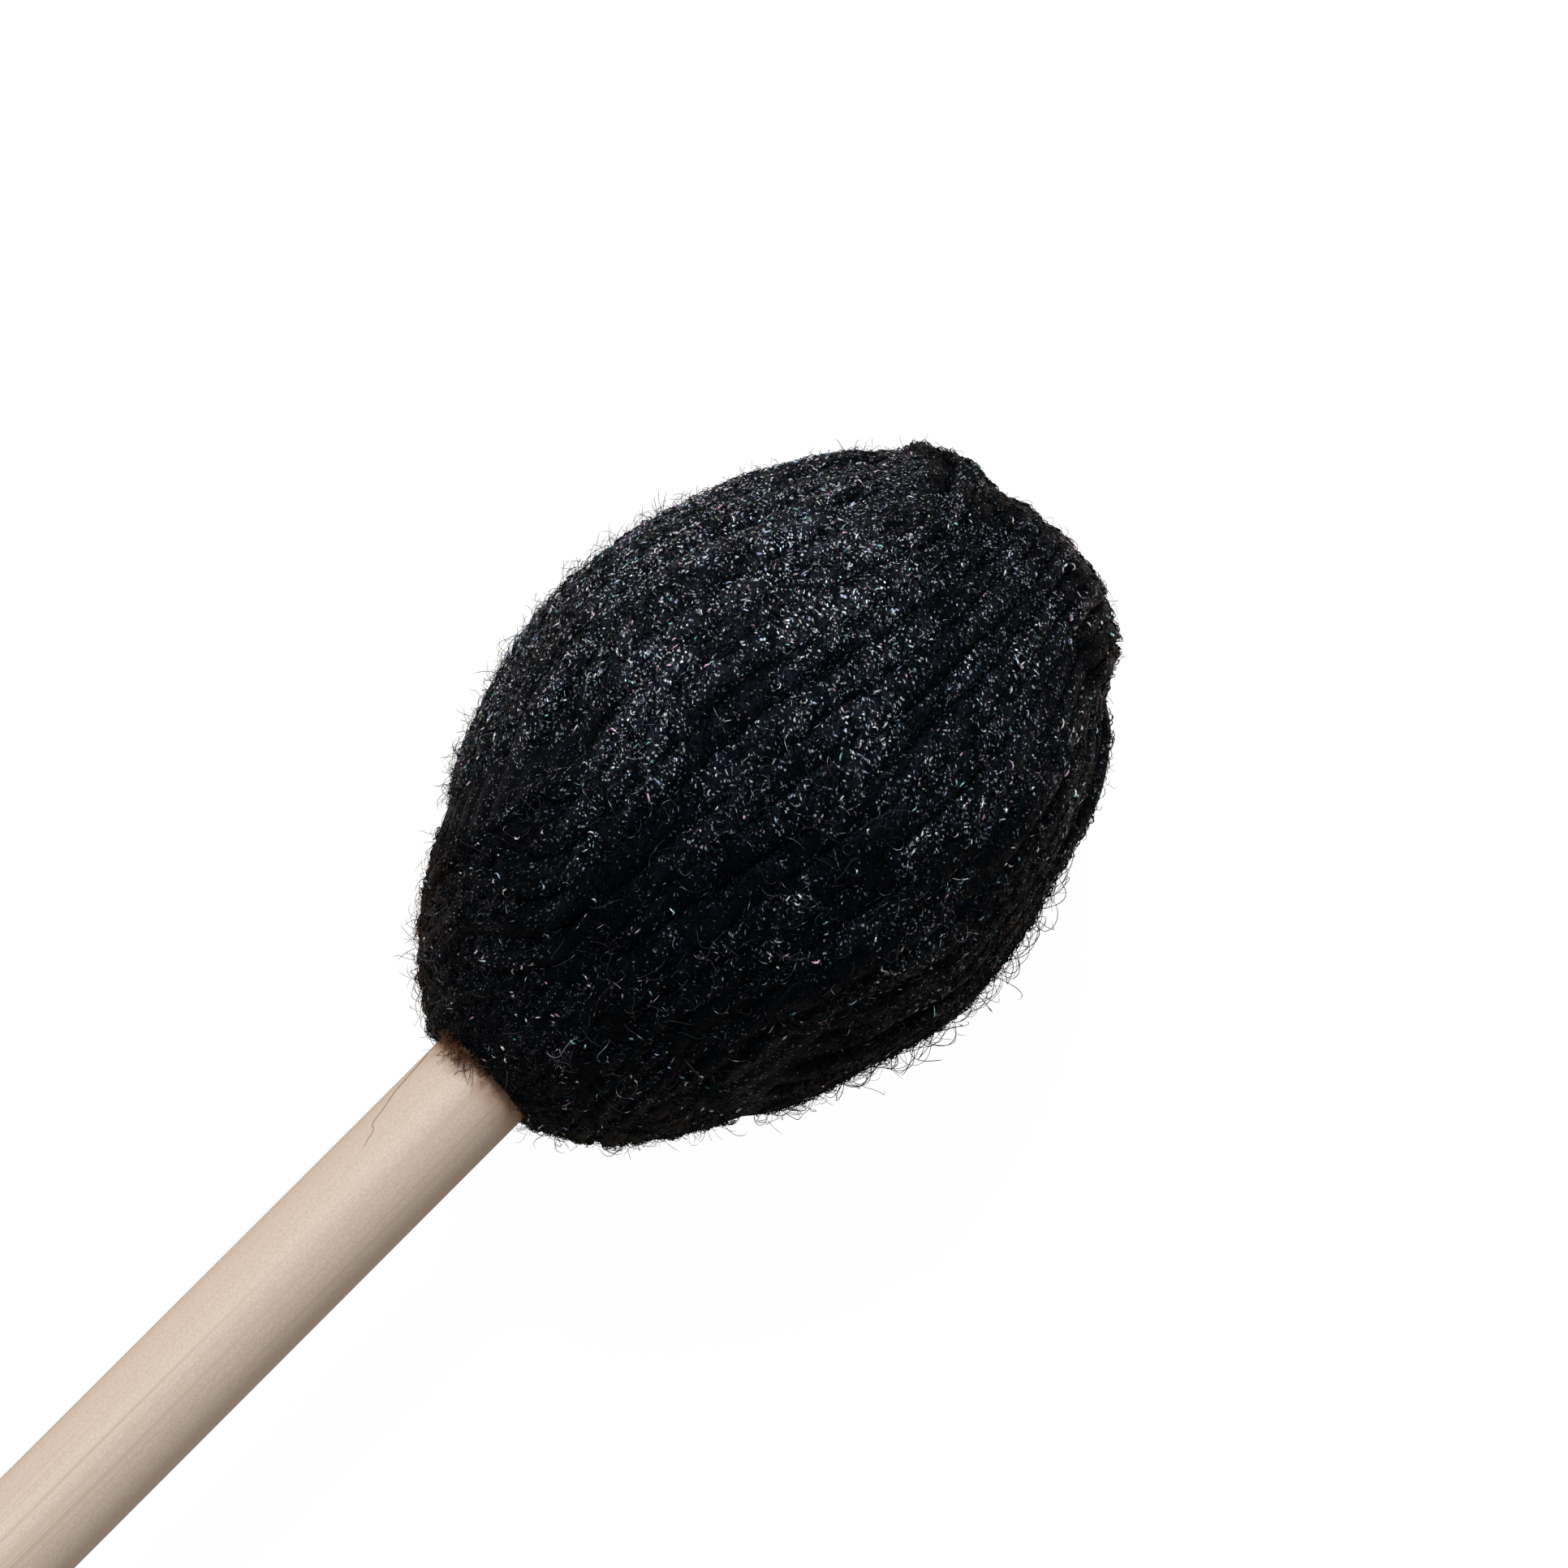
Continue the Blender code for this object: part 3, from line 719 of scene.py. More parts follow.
# The head's surface drawn in, with ridges that lean the other way: half a wave of the cosine for each strand
def makeUnder():
    look = underLook
    rows = look["rows"] // 2
    parts = []
    for side in (1, -1):
        least = 0.0 if side > 0 else yarn["handleHole"]
        share = (np.arange(rows) + 0.5) / rows
        radius = least + (woundRadius - least) * np.sin(share * math.pi / 2)
        dived = smooth((woundRadius - radius) / (woundRadius - look["dropWithin"]))
        drop = look["drop"] + (dropAt(side) - look["drop"]) * dived
        x, z, _, _ = headSurface(radius, side, -drop)
        parts.append(np.stack([np.maximum(x, least), z], 1)[::side])
    top, bottom = parts[0][0, 1], parts[1][-1, 1]
    rings = turnedSurface(np.concatenate([[[0, top]], *parts, [[0, bottom]]]), look["sides"])
    radius = np.linalg.norm(rings[..., :2], axis=-1)
    angle = np.arctan2(rings[..., 1], rings[..., 0]) - look["lean"] * rings[..., 2] / yarn["headDiameter"]
    ridge = np.abs(np.cos(angle * look["strands"] / 2)) ** look["ridgePower"] - look["ridgeMiddle"]
    fading = smooth((radius - look["level"]) / look["level"])
    grow = 1 + ridge * look["relief"] / np.maximum(radius, look["leastRadius"]) * fading
    rings[..., :2] *= grow[..., None]
    vertices, quads, triangles = closeRings(rings[:, ::-1], [0, 0, top], [0, 0, bottom])
    placed = headToWorld(vertices)
    piece = makePiece("under_layers", placed, quads, triangles, yarnBlack, ("inner_winding",))
    count, sides = rings.shape[:2]
    acrossStep, alongStep = look["mapSteps"]
    around = np.concatenate([np.tile(np.arange(sides) * acrossStep, count), [0, 0]])
    along = np.concatenate([np.repeat(np.arange(count) * alongStep, sides), [0, count * alongStep]])
    setStrandMap(piece, around, along, quads, triangles, sides * acrossStep)
    # Painted light level of the glints: low on the neck half, which paints shade there, and rising toward the
    # crown
    least, more = look["paintedLight"]
    paintedLight = least + more * smooth(vertices[:, 2] / look["paintedLightReach"])
    setAttribute(piece, "PaintedLight", "FLOAT", "value", paintedLight)


makeUnder()


# Stitch threads, drawn into the yarn round the crown and round the neck

stitch = {
    "thickness": 0.6 * mm,
    "crownRadius": 5.2 * mm,
    "neckRadius": 6.8 * mm,
    "sunk": 0.45 * mm,
    "dips": 12,
    "dipDepth": 0.22 * mm,
    "rings": 420,
    "sides": 10,
    "plies": 2,
    "plyDepth": 0.16,
    "plyTurns": 30,
    "finish": {"Roughness": 0.55, "Specular IOR Level": 0.15},
    "grain": (4200.0, 2.0),
    "tones": ((0.003, 0.003, 0.004), (0.018, 0.018, 0.022)),
}
threadBlack = twoToneMaterial("stitchThread", stitch)


# A ring whose height follows the head's surface and dips between the strands; its section has two lobes
# that turn along it
def makeStitch(name, radius, side):
    count, sides = stitch["rings"], stitch["sides"]
    around = evenAngles(count)
    z = headSurface(np.full(count, radius), side, 0.0)[1]
    height = z + side * (stitch["dipDepth"] * np.cos(stitch["dips"] * around) - stitch["sunk"])
    angle = evenAngles(sides)
    lobes = 1 + stitch["plyDepth"] * np.cos(stitch["plies"] * angle - stitch["plyTurns"] * around[:, None])
    reach = radius + stitch["thickness"] / 2 * lobes * np.cos(angle)
    level = height[:, None] + stitch["thickness"] / 2 * lobes * np.sin(angle)
    vertices = headToWorld(roundAxis(reach, around[:, None], level).reshape(-1, 3))
    quads = ringQuads(count + 1, sides)[:, ::-1] % (count * sides)
    makePiece(f"{name}_thread", vertices, quads, [], threadBlack, (name,))


makeStitch("crown_stitch", stitch["crownRadius"], 1)
makeStitch("neck_stitch", stitch["neckRadius"], -1)


# Rubber core: its solid stays, inside the yarn, with moulded rubber's own colour and grain

rubberLook = {
    "finish": {"Roughness": 0.8, "Specular IOR Level": 0.3},
    "grain": (900.0, 4.0),
    "tones": ((0.030, 0.027, 0.024), (0.075, 0.068, 0.060)),
    "bump": (0.3, 0.1 * mm),
}
bpy.data.objects["rubber_core"].material_slots[0].material = twoToneMaterial("mouldedRubber", rubberLook)
print("rubber_core: coloured")


# Fuzz: what its fibres share. Each kind's own dictionary gives lengths, lifts in degrees and thicknesses

fuzz = {
    "seed": 5,
    "tubeSides": 3,
    "offAxis": (0.3, 0.1, -0.2),
    "taper": (1.08, 3.5, 0.3),  # where it would end, how fast it narrows, and the least share
    "rootAngles": (20, 160),
    "buried": 0.25,
    "feltReach": 14.0 * mm,
    # Painted light level of the felt's glints: low at the neck, which paints shade there
    "feltPaintedLight": (0.30, 0.75),  # at the neck and at the crown
    "swing": 0.6,
    "swings": (2, 7),
    "curlFrom": 0.3,
    "strandRadius": 1.15 * mm,
    "finish": {"Roughness": 0.3, "Specular IOR Level": 0.06, "Specular Tint": coolTint},
}
# Tones of the fibres: dark ones, and bright ones for painted glints and a faint painted sheen
tints = {
    "darks": [[0.002, 0.004, 0.006], [0.002, 0.006, 0.013], [0.002, 0.010, 0.012], [0.007, 0.004, 0.010]],
    "brights": [[0.94, 0.95, 0.98], [0.52, 0.68, 0.98], [0.36, 0.84, 0.88], [0.94, 0.54, 0.82]],
    "shares": [0.50, 0.24, 0.12, 0.14],
    "depth": (-0.9, 0.9),  # middle and spread of the depth's logarithm
    "depthRise": (0.55, 0.95),  # for no glinting, and more with it
    "faint": (0.01, 0.07),
    "crowdPower": (1.8, 0.8),  # for no glinting, and less with it
    "bright": (0.35, 0.9, 1.3),  # least, more, and the power of the random number
    "brightFall": (1.4, 0.4),
    "brightShare": 0.32,
    "medium": (0.04, 0.20),
    "mediumShare": 0.70,
    "twoRingsOver": 0.85,
    "shine": 0.50,
}


# Each fibre's own tint, which holds its painted glints, and shine, from its rings' attributes
def fibreMaterial():
    material, tree, shader = newMaterial("looseFibre", fuzz["finish"])
    tint = addNode(tree, "Attribute", attribute_name="Tint").outputs["Color"]
    shine = addNode(tree, "Attribute", attribute_name="Shine").outputs["Fac"]
    feed(tree, shader, {"Base Color": tint, "Metallic": shine})
    return material


# Random places on the outer side of the strands that aren't buried, with the strand's own ways there
def rootPlaces(rng, count):
    run = yarnRun
    chance = np.gradient(run["length"]) * run["halfWidth"] * (run["dived"] < fuzz["buried"])
    at = rng.choice(len(chance), count, p=chance / chance.sum())
    angle = np.radians(rng.uniform(*fuzz["rootAngles"], count))
    picked = {name: part[at] for name, part in run.items()}
    across = picked["sideways"] * (np.cos(angle) / picked["halfWidth"])[:, None]
    normal = unit(across + picked["outward"] * (np.sin(angle) / picked["halfHeight"])[:, None])
    way = picked["ways"]
    return {"root": yarnSection(picked, angle), "way": way, "aside": np.cross(normal, way), "normal": normal,
            "paintedLight": paintedLightAt(picked["paintedLight"], angle)}


# Random places on the felt round the crown and the neck: the square of the radius is spread evenly
def feltPlaces(rng, count):
    angle = rng.uniform(0, math.tau, count)
    share = rng.random(count)
    parts = []
    for side in (1, -1):
        least = 0.0 if side > 0 else yarn["handleHole"]
        radius = np.sqrt(least ** 2 + (fuzz["feltReach"] ** 2 - least ** 2) * share)
        parts.append(np.stack(headSurface(radius, side, -dropAt(side)), 1))
    x, z, out, up = np.where((rng.random(count) < 0.5)[:, None], *parts).T
    normal = roundAxis(out, angle, up)
    way = roundAxis(1.0, angle + math.pi / 2, 0.0)
    paintedLight = np.where(z > 0, fuzz["feltPaintedLight"][1], fuzz["feltPaintedLight"][0])
    return {"root": roundAxis(x, angle, z), "way": way, "aside": np.cross(normal, way), "normal": normal,
            "paintedLight": paintedLight}


# Several sets of places as one, and some of a set
def joined(*places):
    return {name: np.concatenate([each[name] for each in places]) for name in places[0]}


def chosenFrom(places, chosen):
    return {name: part[chosen] for name, part in places.items()}


# Fibres of one kind. Each path is the sum of equal steps whose heading turns along it: it starts at its lift,
# ends going down again, curls to one side and then the other, and bends round the strand it lies on
def growFibres(rng, kind, places, lengthShare=1.0):
    count, rings = len(places["root"]), kind["rings"]
    length = rng.uniform(*kind["length"], count) * lengthShare
    lift = np.radians(rng.uniform(*kind["lift"], count))[:, None]
    if "heading" in kind:
        heading = np.radians(rng.normal(*kind["heading"], count))
    else:
        heading = rng.uniform(0, math.tau, count)
    if "bothWays" in kind:
        heading = heading + math.pi * rng.integers(0, 2, count)
    heading = heading[:, None]
    curl = rng.normal(0, kind["curl"], count)[:, None]
    fall = rng.choice(kind["falls"], count)[:, None] if "falls" in kind else 1.0
    share = np.linspace(0, 1, rings - 1)
    swing = rng.normal(size=(count, 1)) * np.cos(rng.uniform(*fuzz["swings"], (count, 1)) * share
                                                 + rng.uniform(0, math.tau, (count, 1)))
    yaw = heading + curl * (share - fuzz["curlFrom"]) + fuzz["swing"] * swing
    wrapped = kind["hug"] * np.sin(heading) ** 2 * share * length[:, None] / fuzz["strandRadius"]
    pitch = lift * np.cos(share * math.pi * fall) - wrapped
    steps = (np.cos(pitch) * np.cos(yaw))[..., None] * places["way"][:, None]
    steps = steps + (np.cos(pitch) * np.sin(yaw))[..., None] * places["aside"][:, None]
    steps = steps + np.sin(pitch)[..., None] * places["normal"][:, None]
    steps = steps * (length / (rings - 1))[:, None, None]
    paths = np.concatenate([np.zeros((count, 1, 3)), np.cumsum(steps, 1)], 1)
    return paths + places["root"][:, None]


# Colours and gloss for each ring of each fibre: dark all along, but for a short painted glint, a bright base
# colour, at one ring of some, and a faint painted sheen all along some. The dark tone and the glints follow the
# painted light level given
def fibreTints(rng, paths, glint, faintShare=0.0):
    count, rings = paths.shape[:2]
    darks, brights = np.array(tints["darks"]), np.array(tints["brights"])
    tone = rng.choice(len(darks), count, p=tints["shares"])
    least, more = tints["depthRise"]
    depth = np.exp(rng.normal(*tints["depth"], (count, 1, 1))) * (least + more * np.reshape(glint, (-1, 1, 1)))
    colour = np.repeat(darks[tone][:, None] * depth, rings, 1)
    faint = (rng.random(count) < faintShare) * rng.uniform(*tints["faint"], count)
    colour = colour + faint[:, None, None] * brights[tone][:, None]
    capped = np.minimum(glint, 1.0)
    most, less = tints["crowdPower"]
    draw = rng.random(count) / np.maximum(glint * clumpAt(paths[:, 0]) ** (most - less * capped), 1e-6)
    least, more, power = tints["bright"]
    most, less = tints["brightFall"]
    bright = (least + more * rng.random(count) ** power) * (most - less * capped)
    strength = np.where(draw < tints["brightShare"], bright, rng.uniform(*tints["medium"], count))
    strength = strength * (draw < tints["brightShare"] + tints["mediumShare"])
    at = rng.integers(1, rings - 1, count)
    rows = np.arange(count)
    colour[rows, at] += brights[tone] * strength[:, None]
    longer = strength > tints["twoRingsOver"]
    colour[rows[longer], at[longer] - 1] += brights[tone[longer]] * strength[longer, None]
    shine = np.zeros((count, rings))
    shine[rows, at] = strength * tints["shine"]
    return np.clip(colour, 0, 1), shine


# Fibres as thin closed tubes: each ring stands square to its fibre, carried along so that it doesn't twist
def fibreTubes(paths, radii, sides):
    count, rings = paths.shape[:2]
    ways = np.empty_like(paths)
    ways[:, 1:-1] = paths[:, 2:] - paths[:, :-2]
    ways[:, 0] = paths[:, 1] - paths[:, 0]
    ways[:, -1] = paths[:, -1] - paths[:, -2]
    ways = unit(ways)
    across = unit(np.cross(ways[:, 0], unit(np.roll(ways[:, 0], 1, -1) + fuzz["offAxis"])))
    angle = evenAngles(sides)[:, None]
    tubes = np.empty((count, rings, sides, 3))
    for ring in range(rings):
        way = ways[:, ring]
        across = unit(across - way * (across * way).sum(-1, keepdims=True))
        up = np.cross(way, across)
        spread = across[:, None] * np.cos(angle) + up[:, None] * np.sin(angle)
        tubes[:, ring] = paths[:, ring, None] + spread * radii[:, ring, None, None]
    start = (np.arange(count) * rings * sides)[:, None, None]
    quads = start + ringQuads(rings, sides)
    side = np.arange(1, sides - 1)
    cap = np.stack([np.zeros_like(side), side + 1, side], 1)
    caps = start + np.concatenate([cap, (rings - 1) * sides + cap[:, ::-1]])
    return tubes.reshape(-1, 3), quads.reshape(-1, 4), caps.reshape(-1, 3)


# Fibres as one piece: they narrow toward their tips and stay over the floor
def makeFibres(name, paths, thickness, colour, shine):
    count, rings = paths.shape[:2]
    end, narrowing, least = fuzz["taper"]
    taper = np.clip((end - np.linspace(0, 1, rings)) * narrowing, least, 1.0)
    placed = headToWorld(paths)
    placed[..., 2] = np.maximum(placed[..., 2], thickness[:, None] + lie["floorGap"] / 2)
    vertices, quads, triangles = fibreTubes(placed, thickness[:, None] * taper, fuzz["tubeSides"])
    piece = makePiece(name, vertices, quads, triangles, fibreDark)
    colour = np.concatenate([colour, np.ones((count, rings, 1))], -1).reshape(-1, 4)
    setAttribute(piece, "Tint", "FLOAT_COLOR", "color", np.repeat(colour, fuzz["tubeSides"], 0))
    setAttribute(piece, "Shine", "FLOAT", "value", np.repeat(shine.ravel(), fuzz["tubeSides"]))


# Short nap that covers the strands, near the strand's own way, either way along it

nap = {
    "pieces": 6,
    "onStrands": 5600,
    "onFelt": 1500,
    "rings": 5,
    "length": (0.40 * mm, 1.20 * mm),
    "lift": (6.0, 42.0),
    "heading": (18, 40),
    "bothWays": True,
    "curl": 1.5,
    "hug": 0.75,
    "thickness": (0.026 * mm, 0.044 * mm),
    "thickOver": 0.3,  # fibres with a glint over this are twice as thick
}


def makeNap(rng):
    for number in range(nap["pieces"]):
        places = joined(rootPlaces(rng, nap["onStrands"]), feltPlaces(rng, nap["onFelt"]))
        paths = growFibres(rng, nap, places)
        colour, shine = fibreTints(rng, paths, places["paintedLight"])
        thickness = rng.uniform(*nap["thickness"], len(paths)) * (1 + (colour.max((1, 2)) > nap["thickOver"]))
        makeFibres(f"nap_fibres_{number + 1}", paths, thickness, colour, shine)


# A thin halo, thickest on the left side, shorter toward the crown, and rusty on the left by the neck

halo = {
    "pieces": 2,
    "onStrands": 2640,
    "onFelt": 660,
    "candidates": 3,
    "toLeft": (0.34, 0.2, 0.5),  # chance on the right side, and start and reach of its rise to 1
    "rings": 9,
    "length": (0.6 * mm, 2.4 * mm),
    "shorter": (0.45, 4.0 * mm, 14.0 * mm),  # share lost, start and reach
    "lift": (15.0, 70.0),
    "curl": 1.1,
    "falls": [0.3, 0.6, 1.0],
    "hug": 0.1,
    "glint": (0.3, 0.08),
    "faintShare": 0.4,
    "thickness": (0.013 * mm, 0.022 * mm),
    "rust": (0.060, 0.020, 0.009),
    "rustBelow": (-18.0 * mm, 5.0 * mm),
    "rustSide": (0.35, 0.4),
}


def makeHalo(rng):
    for number in range(halo["pieces"]):
        onStrands = rootPlaces(rng, halo["candidates"] * halo["onStrands"])
        least, start, reach = halo["toLeft"]
        left = smooth((onStrands["root"][:, 1] / woundRadius - start) / reach)
        kept = np.flatnonzero(rng.random(len(left)) < least + (1 - least) * left)[:halo["onStrands"]]
        places = joined(chosenFrom(onStrands, kept), feltPlaces(rng, halo["onFelt"]))
        height = places["root"][:, 2]
        loss, start, reach = halo["shorter"]
        paths = growFibres(rng, halo, places, 1 - loss * smooth((height - start) / reach))
        # Painted glints that follow the painted light level where the fibres stand
        slope, least = halo["glint"]
        colour, shine = fibreTints(rng, paths, slope * places["paintedLight"] + least, halo["faintShare"])
        start, reach = halo["rustBelow"]
        rusty = smooth((start - height) / reach)
        start, reach = halo["rustSide"]
        rusty = rusty * smooth((places["normal"][:, 1] - start) / reach)
        colour = np.clip(colour + rusty[:, None, None] * halo["rust"], 0, 1)
        thickness = rng.uniform(*halo["thickness"], len(paths))
        makeFibres(f"halo_fibres_{number + 1}", paths, thickness, colour, shine)


# Curly fibres lie loose over the darker half by the neck, each with a few painted glints, spots of bright base
# colour, along it

curls = {
    "count": 1300,
    "candidates": 12,
    "heights": (-30.0 * mm, 2.0 * mm),
    "rings": 14,
    "length": (1.4 * mm, 4.2 * mm),
    "lift": (12, 34),
    "curl": 3.0,
    "hug": 0.55,
    "glint": 0.5,
    "faintShare": 0.6,
    "spotShare": 0.07,
    "spots": (0.2, 1.0),
    "paleShare": 0.03,
    "pale": (0.06, 0.3),
    "tone": (0.92, 0.94, 1.0),
    "thickness": (0.017 * mm, 0.028 * mm),
}


def makeCurls(rng):
    places = rootPlaces(rng, curls["count"] * curls["candidates"])
    low, high = curls["heights"]
    height = places["root"][:, 2]
    chosen = np.flatnonzero((height > low) & (height < high))[:curls["count"]]
    count = len(chosen)
    paths = growFibres(rng, curls, chosenFrom(places, chosen))
    colour, shine = fibreTints(rng, paths, curls["glint"], curls["faintShare"])
    # Painted glints: spots of bright base colour on some rings, with shine
    spots = rng.random(shine.shape) < curls["spotShare"]
    strength = spots * rng.uniform(*curls["spots"], shine.shape)
    pale = (rng.random(count) < curls["paleShare"]) * rng.uniform(*curls["pale"], count)
    colour = np.clip(colour + (strength + pale[:, None])[..., None] * curls["tone"], 0, 1)
    shine = np.maximum(shine, strength * tints["shine"])
    makeFibres("curly_fibres", paths, rng.uniform(*curls["thickness"], count), colour, shine)


# Tangles stand off the right side, where the nap has been rubbed up

tangles = {
    "count": 520,
    "candidates": 60,
    "side": -0.4,  # a share of the head's radius, to the right
    "facing": -0.6,
    "heights": (-25.0 * mm, 9.0 * mm),
    "rings": 18,
    "length": (2.2 * mm, 5.8 * mm),
    "shorter": (0.5, -20.0 * mm, 10.0 * mm),  # share by the neck, and start and reach of its rise to 1
    "lift": (10, 60),
    "curl": 2.6,
    "hug": 0.0,
    "glint": 0.15,
    "thickness": (0.019 * mm, 0.033 * mm),
}


def makeTangles(rng):
    places = rootPlaces(rng, tangles["count"] * tangles["candidates"])
    low, high = tangles["heights"]
    root, normal = places["root"], places["normal"]
    there = (root[:, 1] < tangles["side"] * woundRadius) & (normal[:, 1] < tangles["facing"])
    there = there & (root[:, 2] > low) & (root[:, 2] < high)
    places = chosenFrom(places, np.flatnonzero(there)[:tangles["count"]])
    least, start, reach = tangles["shorter"]
    lengthShare = least + (1 - least) * smooth((places["root"][:, 2] - start) / reach)
    paths = growFibres(rng, tangles, places, lengthShare)
    colour, shine = fibreTints(rng, paths, tangles["glint"])
    makeFibres("tangle_fibres", paths, rng.uniform(*tangles["thickness"], len(paths)), colour, shine)


# A few long stray hairs, anywhere on the strands

strays = {
    "count": 9,
    "rings": 30,
    "length": (3.0 * mm, 6.5 * mm),
    "lift": (20, 60),
    "curl": 1.2,
    "hug": 0.0,
    "glint": 0.1,
    "thickness": 0.011 * mm,
}


def makeStrays(rng):
    paths = growFibres(rng, strays, rootPlaces(rng, strays["count"]))
    colour, shine = fibreTints(rng, paths, strays["glint"])
    makeFibres("stray_fibres", paths, np.full(len(paths), strays["thickness"]), colour, shine)


# The fringe of brownish fibres that lies on the wood where the yarn ends, with a tuft on one side

fringe = {
    "count": 620,
    "radius": (4.0 * mm, 5.4 * mm),
    "height": (-28.6 * mm, -27.3 * mm),
    "rings": 7,
    "length": (0.3 * mm, 0.95 * mm),
    "lift": (-25, 35),
    "heading": (0, 55),
    "curl": 2.2,
    "hug": 0.0,
    "tuftAt": math.radians(150),
    "tuftWidth": math.radians(32),
    "tuftShare": 0.34,
    "tuftSpread": 0.6,
    "tuftEdge": 1.3,
    "tuftLower": 0.70 * mm,
    "tuftLonger": 0.9,
    "tuftPaler": 0.2,
    "offWood": 0.03 * mm,
    "brown": (0.105, 0.046, 0.024),
    "levels": (0.3, 1.5),
    "thickness": (0.014 * mm, 0.024 * mm),
}


# The roots stand in a ring round the handle, more of them at the tuft, and the paths are kept off the wood
def makeFringe(rng):
    count = fringe["count"]
    angle = rng.uniform(0, math.tau, count)
    crowded = rng.random(count) < fringe["tuftShare"]
    inTuft = rng.normal(fringe["tuftAt"], fringe["tuftSpread"] * fringe["tuftWidth"], count)
    angle = np.where(crowded, inTuft, angle)
    radius = rng.uniform(*fringe["radius"], count)
    tuft = smooth(fringe["tuftEdge"] - np.abs(angle - fringe["tuftAt"]) / fringe["tuftWidth"])
    height = rng.uniform(*fringe["height"], count) - fringe["tuftLower"] * tuft
    outward = roundAxis(1.0, angle, 0.0)
    way = np.tile([0, 0, -1.0], (count, 1))
    places = {"root": roundAxis(radius, angle, height), "way": way, "aside": np.cross(outward, way),
              "normal": outward}
    paths = growFibres(rng, fringe, places, 1 + fringe["tuftLonger"] * tuft)
    fromAxis = np.linalg.norm(paths[..., :2], axis=-1, keepdims=True)
    paths[..., :2] *= np.maximum(fromAxis, handleLook["radius"] + fringe["offWood"]) / fromAxis
    level = rng.uniform(*fringe["levels"], count) * (1 + fringe["tuftPaler"] * tuft)
    colour = level[:, None, None] * fringe["brown"] * np.ones((1, fringe["rings"], 1))
    thickness = rng.uniform(*fringe["thickness"], count)
    makeFibres("neck_fringe", paths, thickness, colour, np.zeros(paths.shape[:2]))


# One loose hair on the wood further down

hair = {
    "marks": [(3.86, -30.4), (3.63, -33.8), (3.18, -36.5), (2.72, -37.2), (2.38, -38.5)],  # millimetres
    "rings": 40,
    "wave": (0.12 * mm, 5.0),
    "brown": (0.26, 0.15, 0.09),
    "thickness": 0.022 * mm,
    "sideLimit": 0.999,
}


# Its places sideways and along come from the marks, and the third one from the handle's round
def makeHair():
    marks = np.array(hair["marks"]) * mm
    share = np.linspace(0, len(marks) - 1, hair["rings"])
    sideways, along = (np.interp(share, np.arange(len(marks)), row) for row in marks.T)
    depth, speed = hair["wave"]
    radius = handleLook["radius"] + hair["thickness"]
    up = np.sqrt(radius ** 2 - np.minimum(sideways, radius * hair["sideLimit"]) ** 2)
    paths = np.stack([-up, sideways, along + depth * np.sin(share * speed)], 1)[None]
    colour = np.tile(hair["brown"], (1, hair["rings"], 1))
    makeFibres("loose_hair", paths, np.array([hair["thickness"]]), colour, np.zeros((1, hair["rings"])))


fuzzRandom = np.random.default_rng(fuzz["seed"])
fibreDark = fibreMaterial()
for makeKind in (makeNap, makeHalo, makeCurls, makeTangles, makeStrays, makeFringe):
    makeKind(fuzzRandom)
makeHair()


# Floor, world and lamp

stage = {
    "floorHalf": 3.0,
    "floorColour": (0.62, 0.52, 0.43),
    "seenWhite": 0.93,
    "seenStrength": 1.06,
    "white": (1.0, 1.0, 1.0),
    "fill": 0.255,
    "key": 2.57,
    "keySoftness": math.radians(14),
    "keyWay": (0.27, 0.43, 0.75),
}


# The camera sees a share of the second surface, and the light meets only the first
def seenApart(tree, output, lit, seen, share):
    camera = addNode(tree, "LightPath").outputs["Is Camera Ray"]
    given = {"Fac": maths(tree, "MULTIPLY", camera, share), 1: lit, 2: seen}
    feed(tree, tree.nodes[output], {"Surface": addNode(tree, "MixShader", given).outputs["Shader"]})


def makeFloor():
    half = stage["floorHalf"]
    corners = [(-half, -half, 0), (half, -half, 0), (half, half, 0), (-half, half, 0)]
    mesh = bpy.data.meshes.new("floor")
    mesh.from_pydata(corners, [], [(0, 1, 2, 3)])
    floor = bpy.data.objects.new("floor", mesh)
    scene.collection.objects.link(floor)
    material, tree, shader = newMaterial("paperFloor", {})
    tree.nodes.remove(shader)
    paper = addNode(tree, "BsdfDiffuse", {"Color": stage["floorColour"]}).outputs["BSDF"]
    seen = addNode(tree, "Emission", {"Strength": stage["seenStrength"]}).outputs["Emission"]
    seenApart(tree, "Material Output", paper, seen, stage["seenWhite"])
    mesh.materials.append(material)
    print("floor: ready")


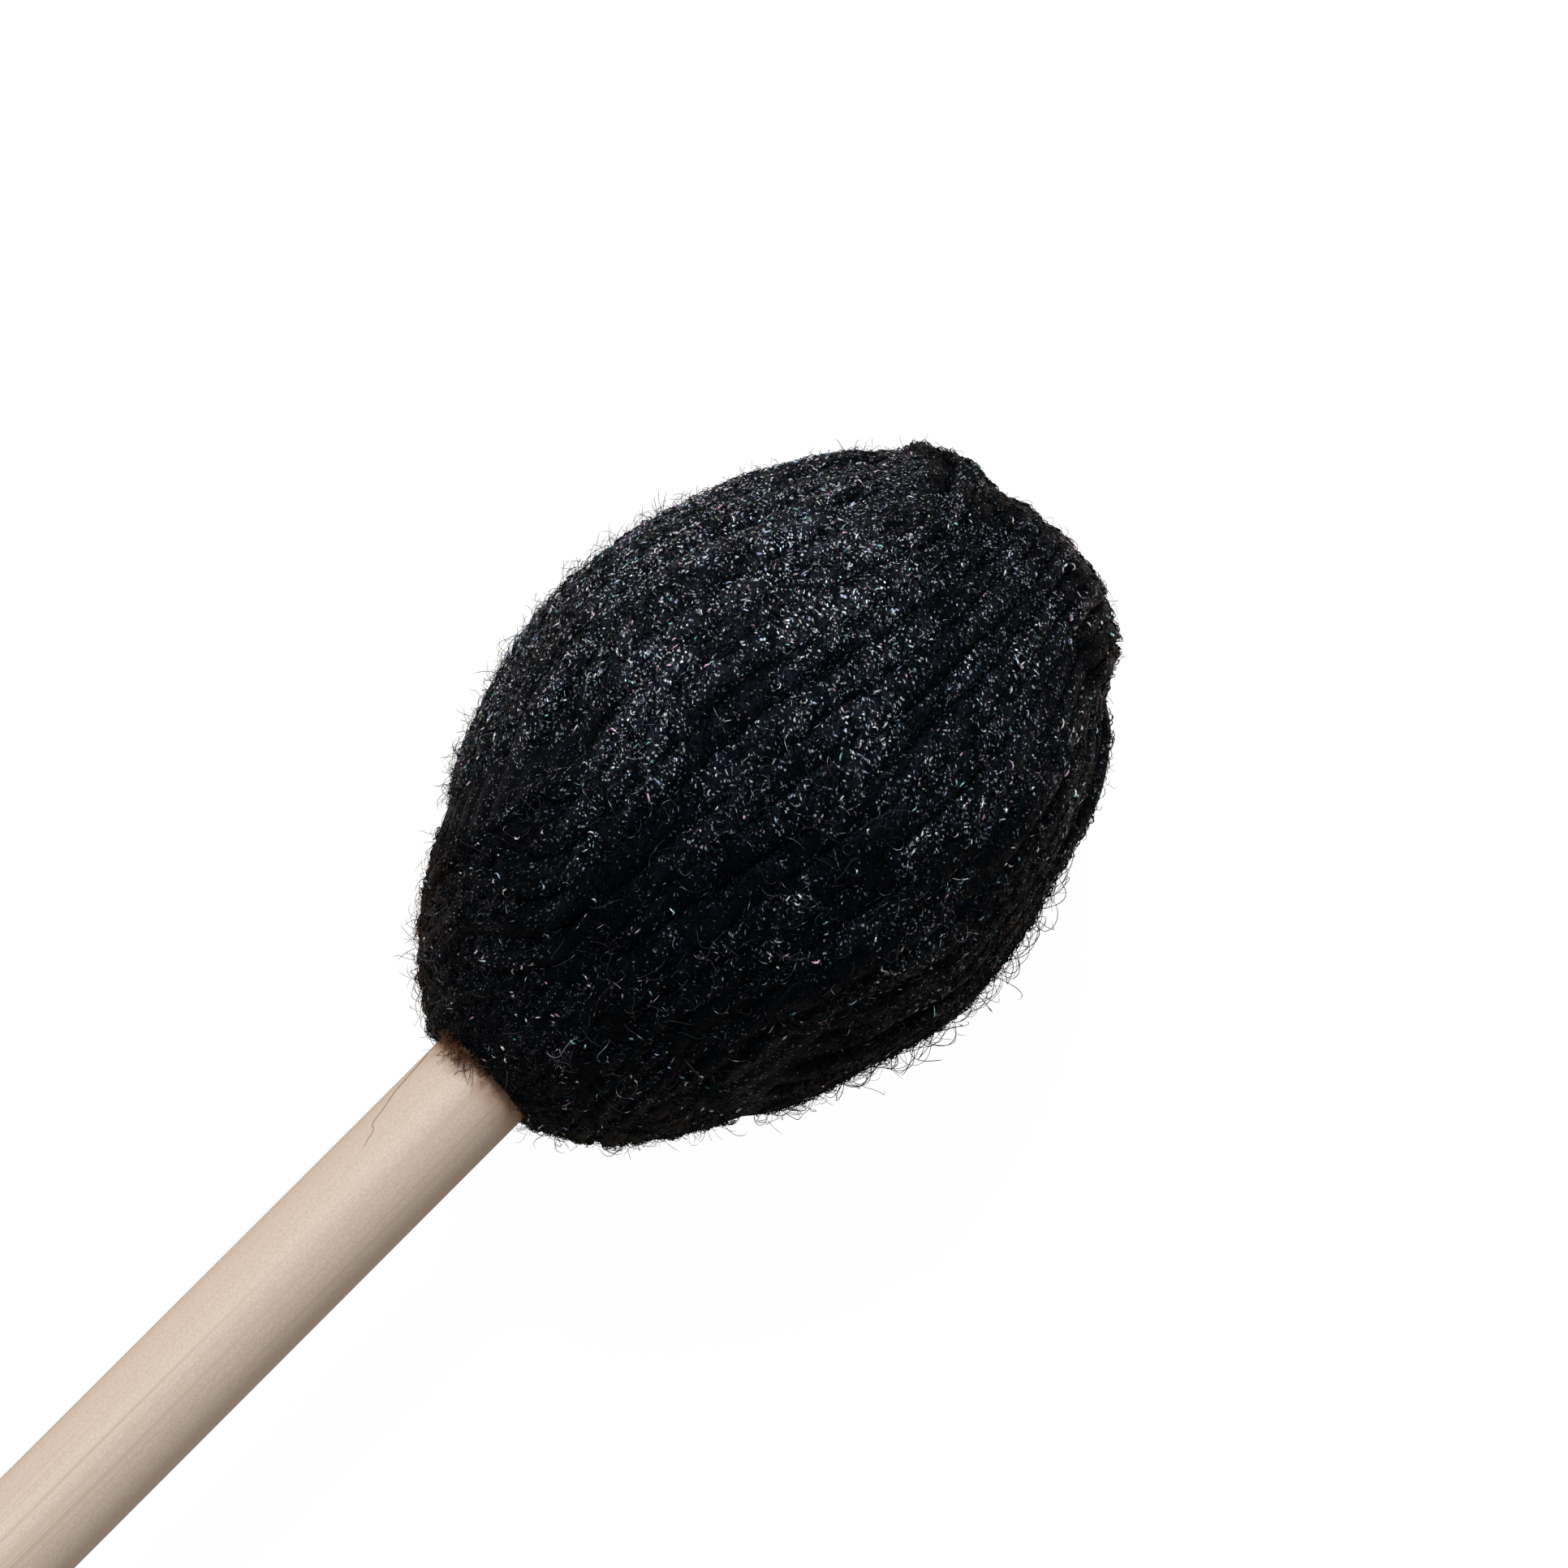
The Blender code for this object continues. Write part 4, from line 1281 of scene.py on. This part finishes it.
def makeWorld():
    world = bpy.data.worlds.new("studio")
    scene.world = world
    world.use_nodes = True
    tree = world.node_tree
    fill = tree.nodes["Background"]
    feed(tree, fill, {"Color": stage["white"], "Strength": stage["fill"]})
    seen = addNode(tree, "Background", {"Color": stage["white"]})
    seenApart(tree, "World Output", fill.outputs["Background"], seen.outputs["Background"], 1.0)
    print("world: ready")


def makeKey():
    lamp = bpy.data.lights.new("key", "SUN")
    lamp.energy = stage["key"]
    lamp.angle = stage["keySoftness"]
    key = bpy.data.objects.new("key", lamp)
    key.rotation_euler = Vector(stage["keyWay"]).to_track_quat("Z", "Y").to_euler()
    scene.collection.objects.link(key)
    print("key lamp: ready")


makeFloor()
makeWorld()
makeKey()


# Camera: a long lens, nearly straight above, a little from the handle's side, rolled so that the mallet
# runs to the upper right

view = {
    "imageSize": 1932,
    "pixel": 0.0567 * mm,
    "headPixel": (951, 972),
    "elevation": math.radians(78),
    "roll": math.radians(45),
    "lens": 200.0,
    "sensor": 36.0,
}


# It looks along a way that leans from straight down, from so far off that the picture's width at the head is
# the image's size in pixels times the size of a pixel
def makeCamera():
    size, pixel = view["imageSize"], view["pixel"]
    lean = math.pi / 2 - view["elevation"]
    look = np.array([math.sin(lean), 0, -math.cos(lean)])
    ahead = np.array([math.cos(lean), 0, math.sin(lean)])
    left = np.array([0, 1.0, 0])
    right = ahead * math.cos(view["roll"]) - left * math.sin(view["roll"])
    up = ahead * math.sin(view["roll"]) + left * math.cos(view["roll"])
    x, y = view["headPixel"]
    aim = widestPlace + right * (size / 2 - x) * pixel + up * (y - size / 2) * pixel
    distance = size * pixel / view["sensor"] * view["lens"]
    data = bpy.data.cameras.new("camera")
    data.lens = view["lens"]
    data.sensor_width = view["sensor"]
    camera = bpy.data.objects.new("camera", data)
    place = np.eye(4)
    place[:3] = np.stack([right, up, -look, aim - look * distance], 1)
    camera.matrix_world = Matrix(place)
    scene.collection.objects.link(camera)
    scene.camera = camera
    print("camera: ready")


makeCamera()
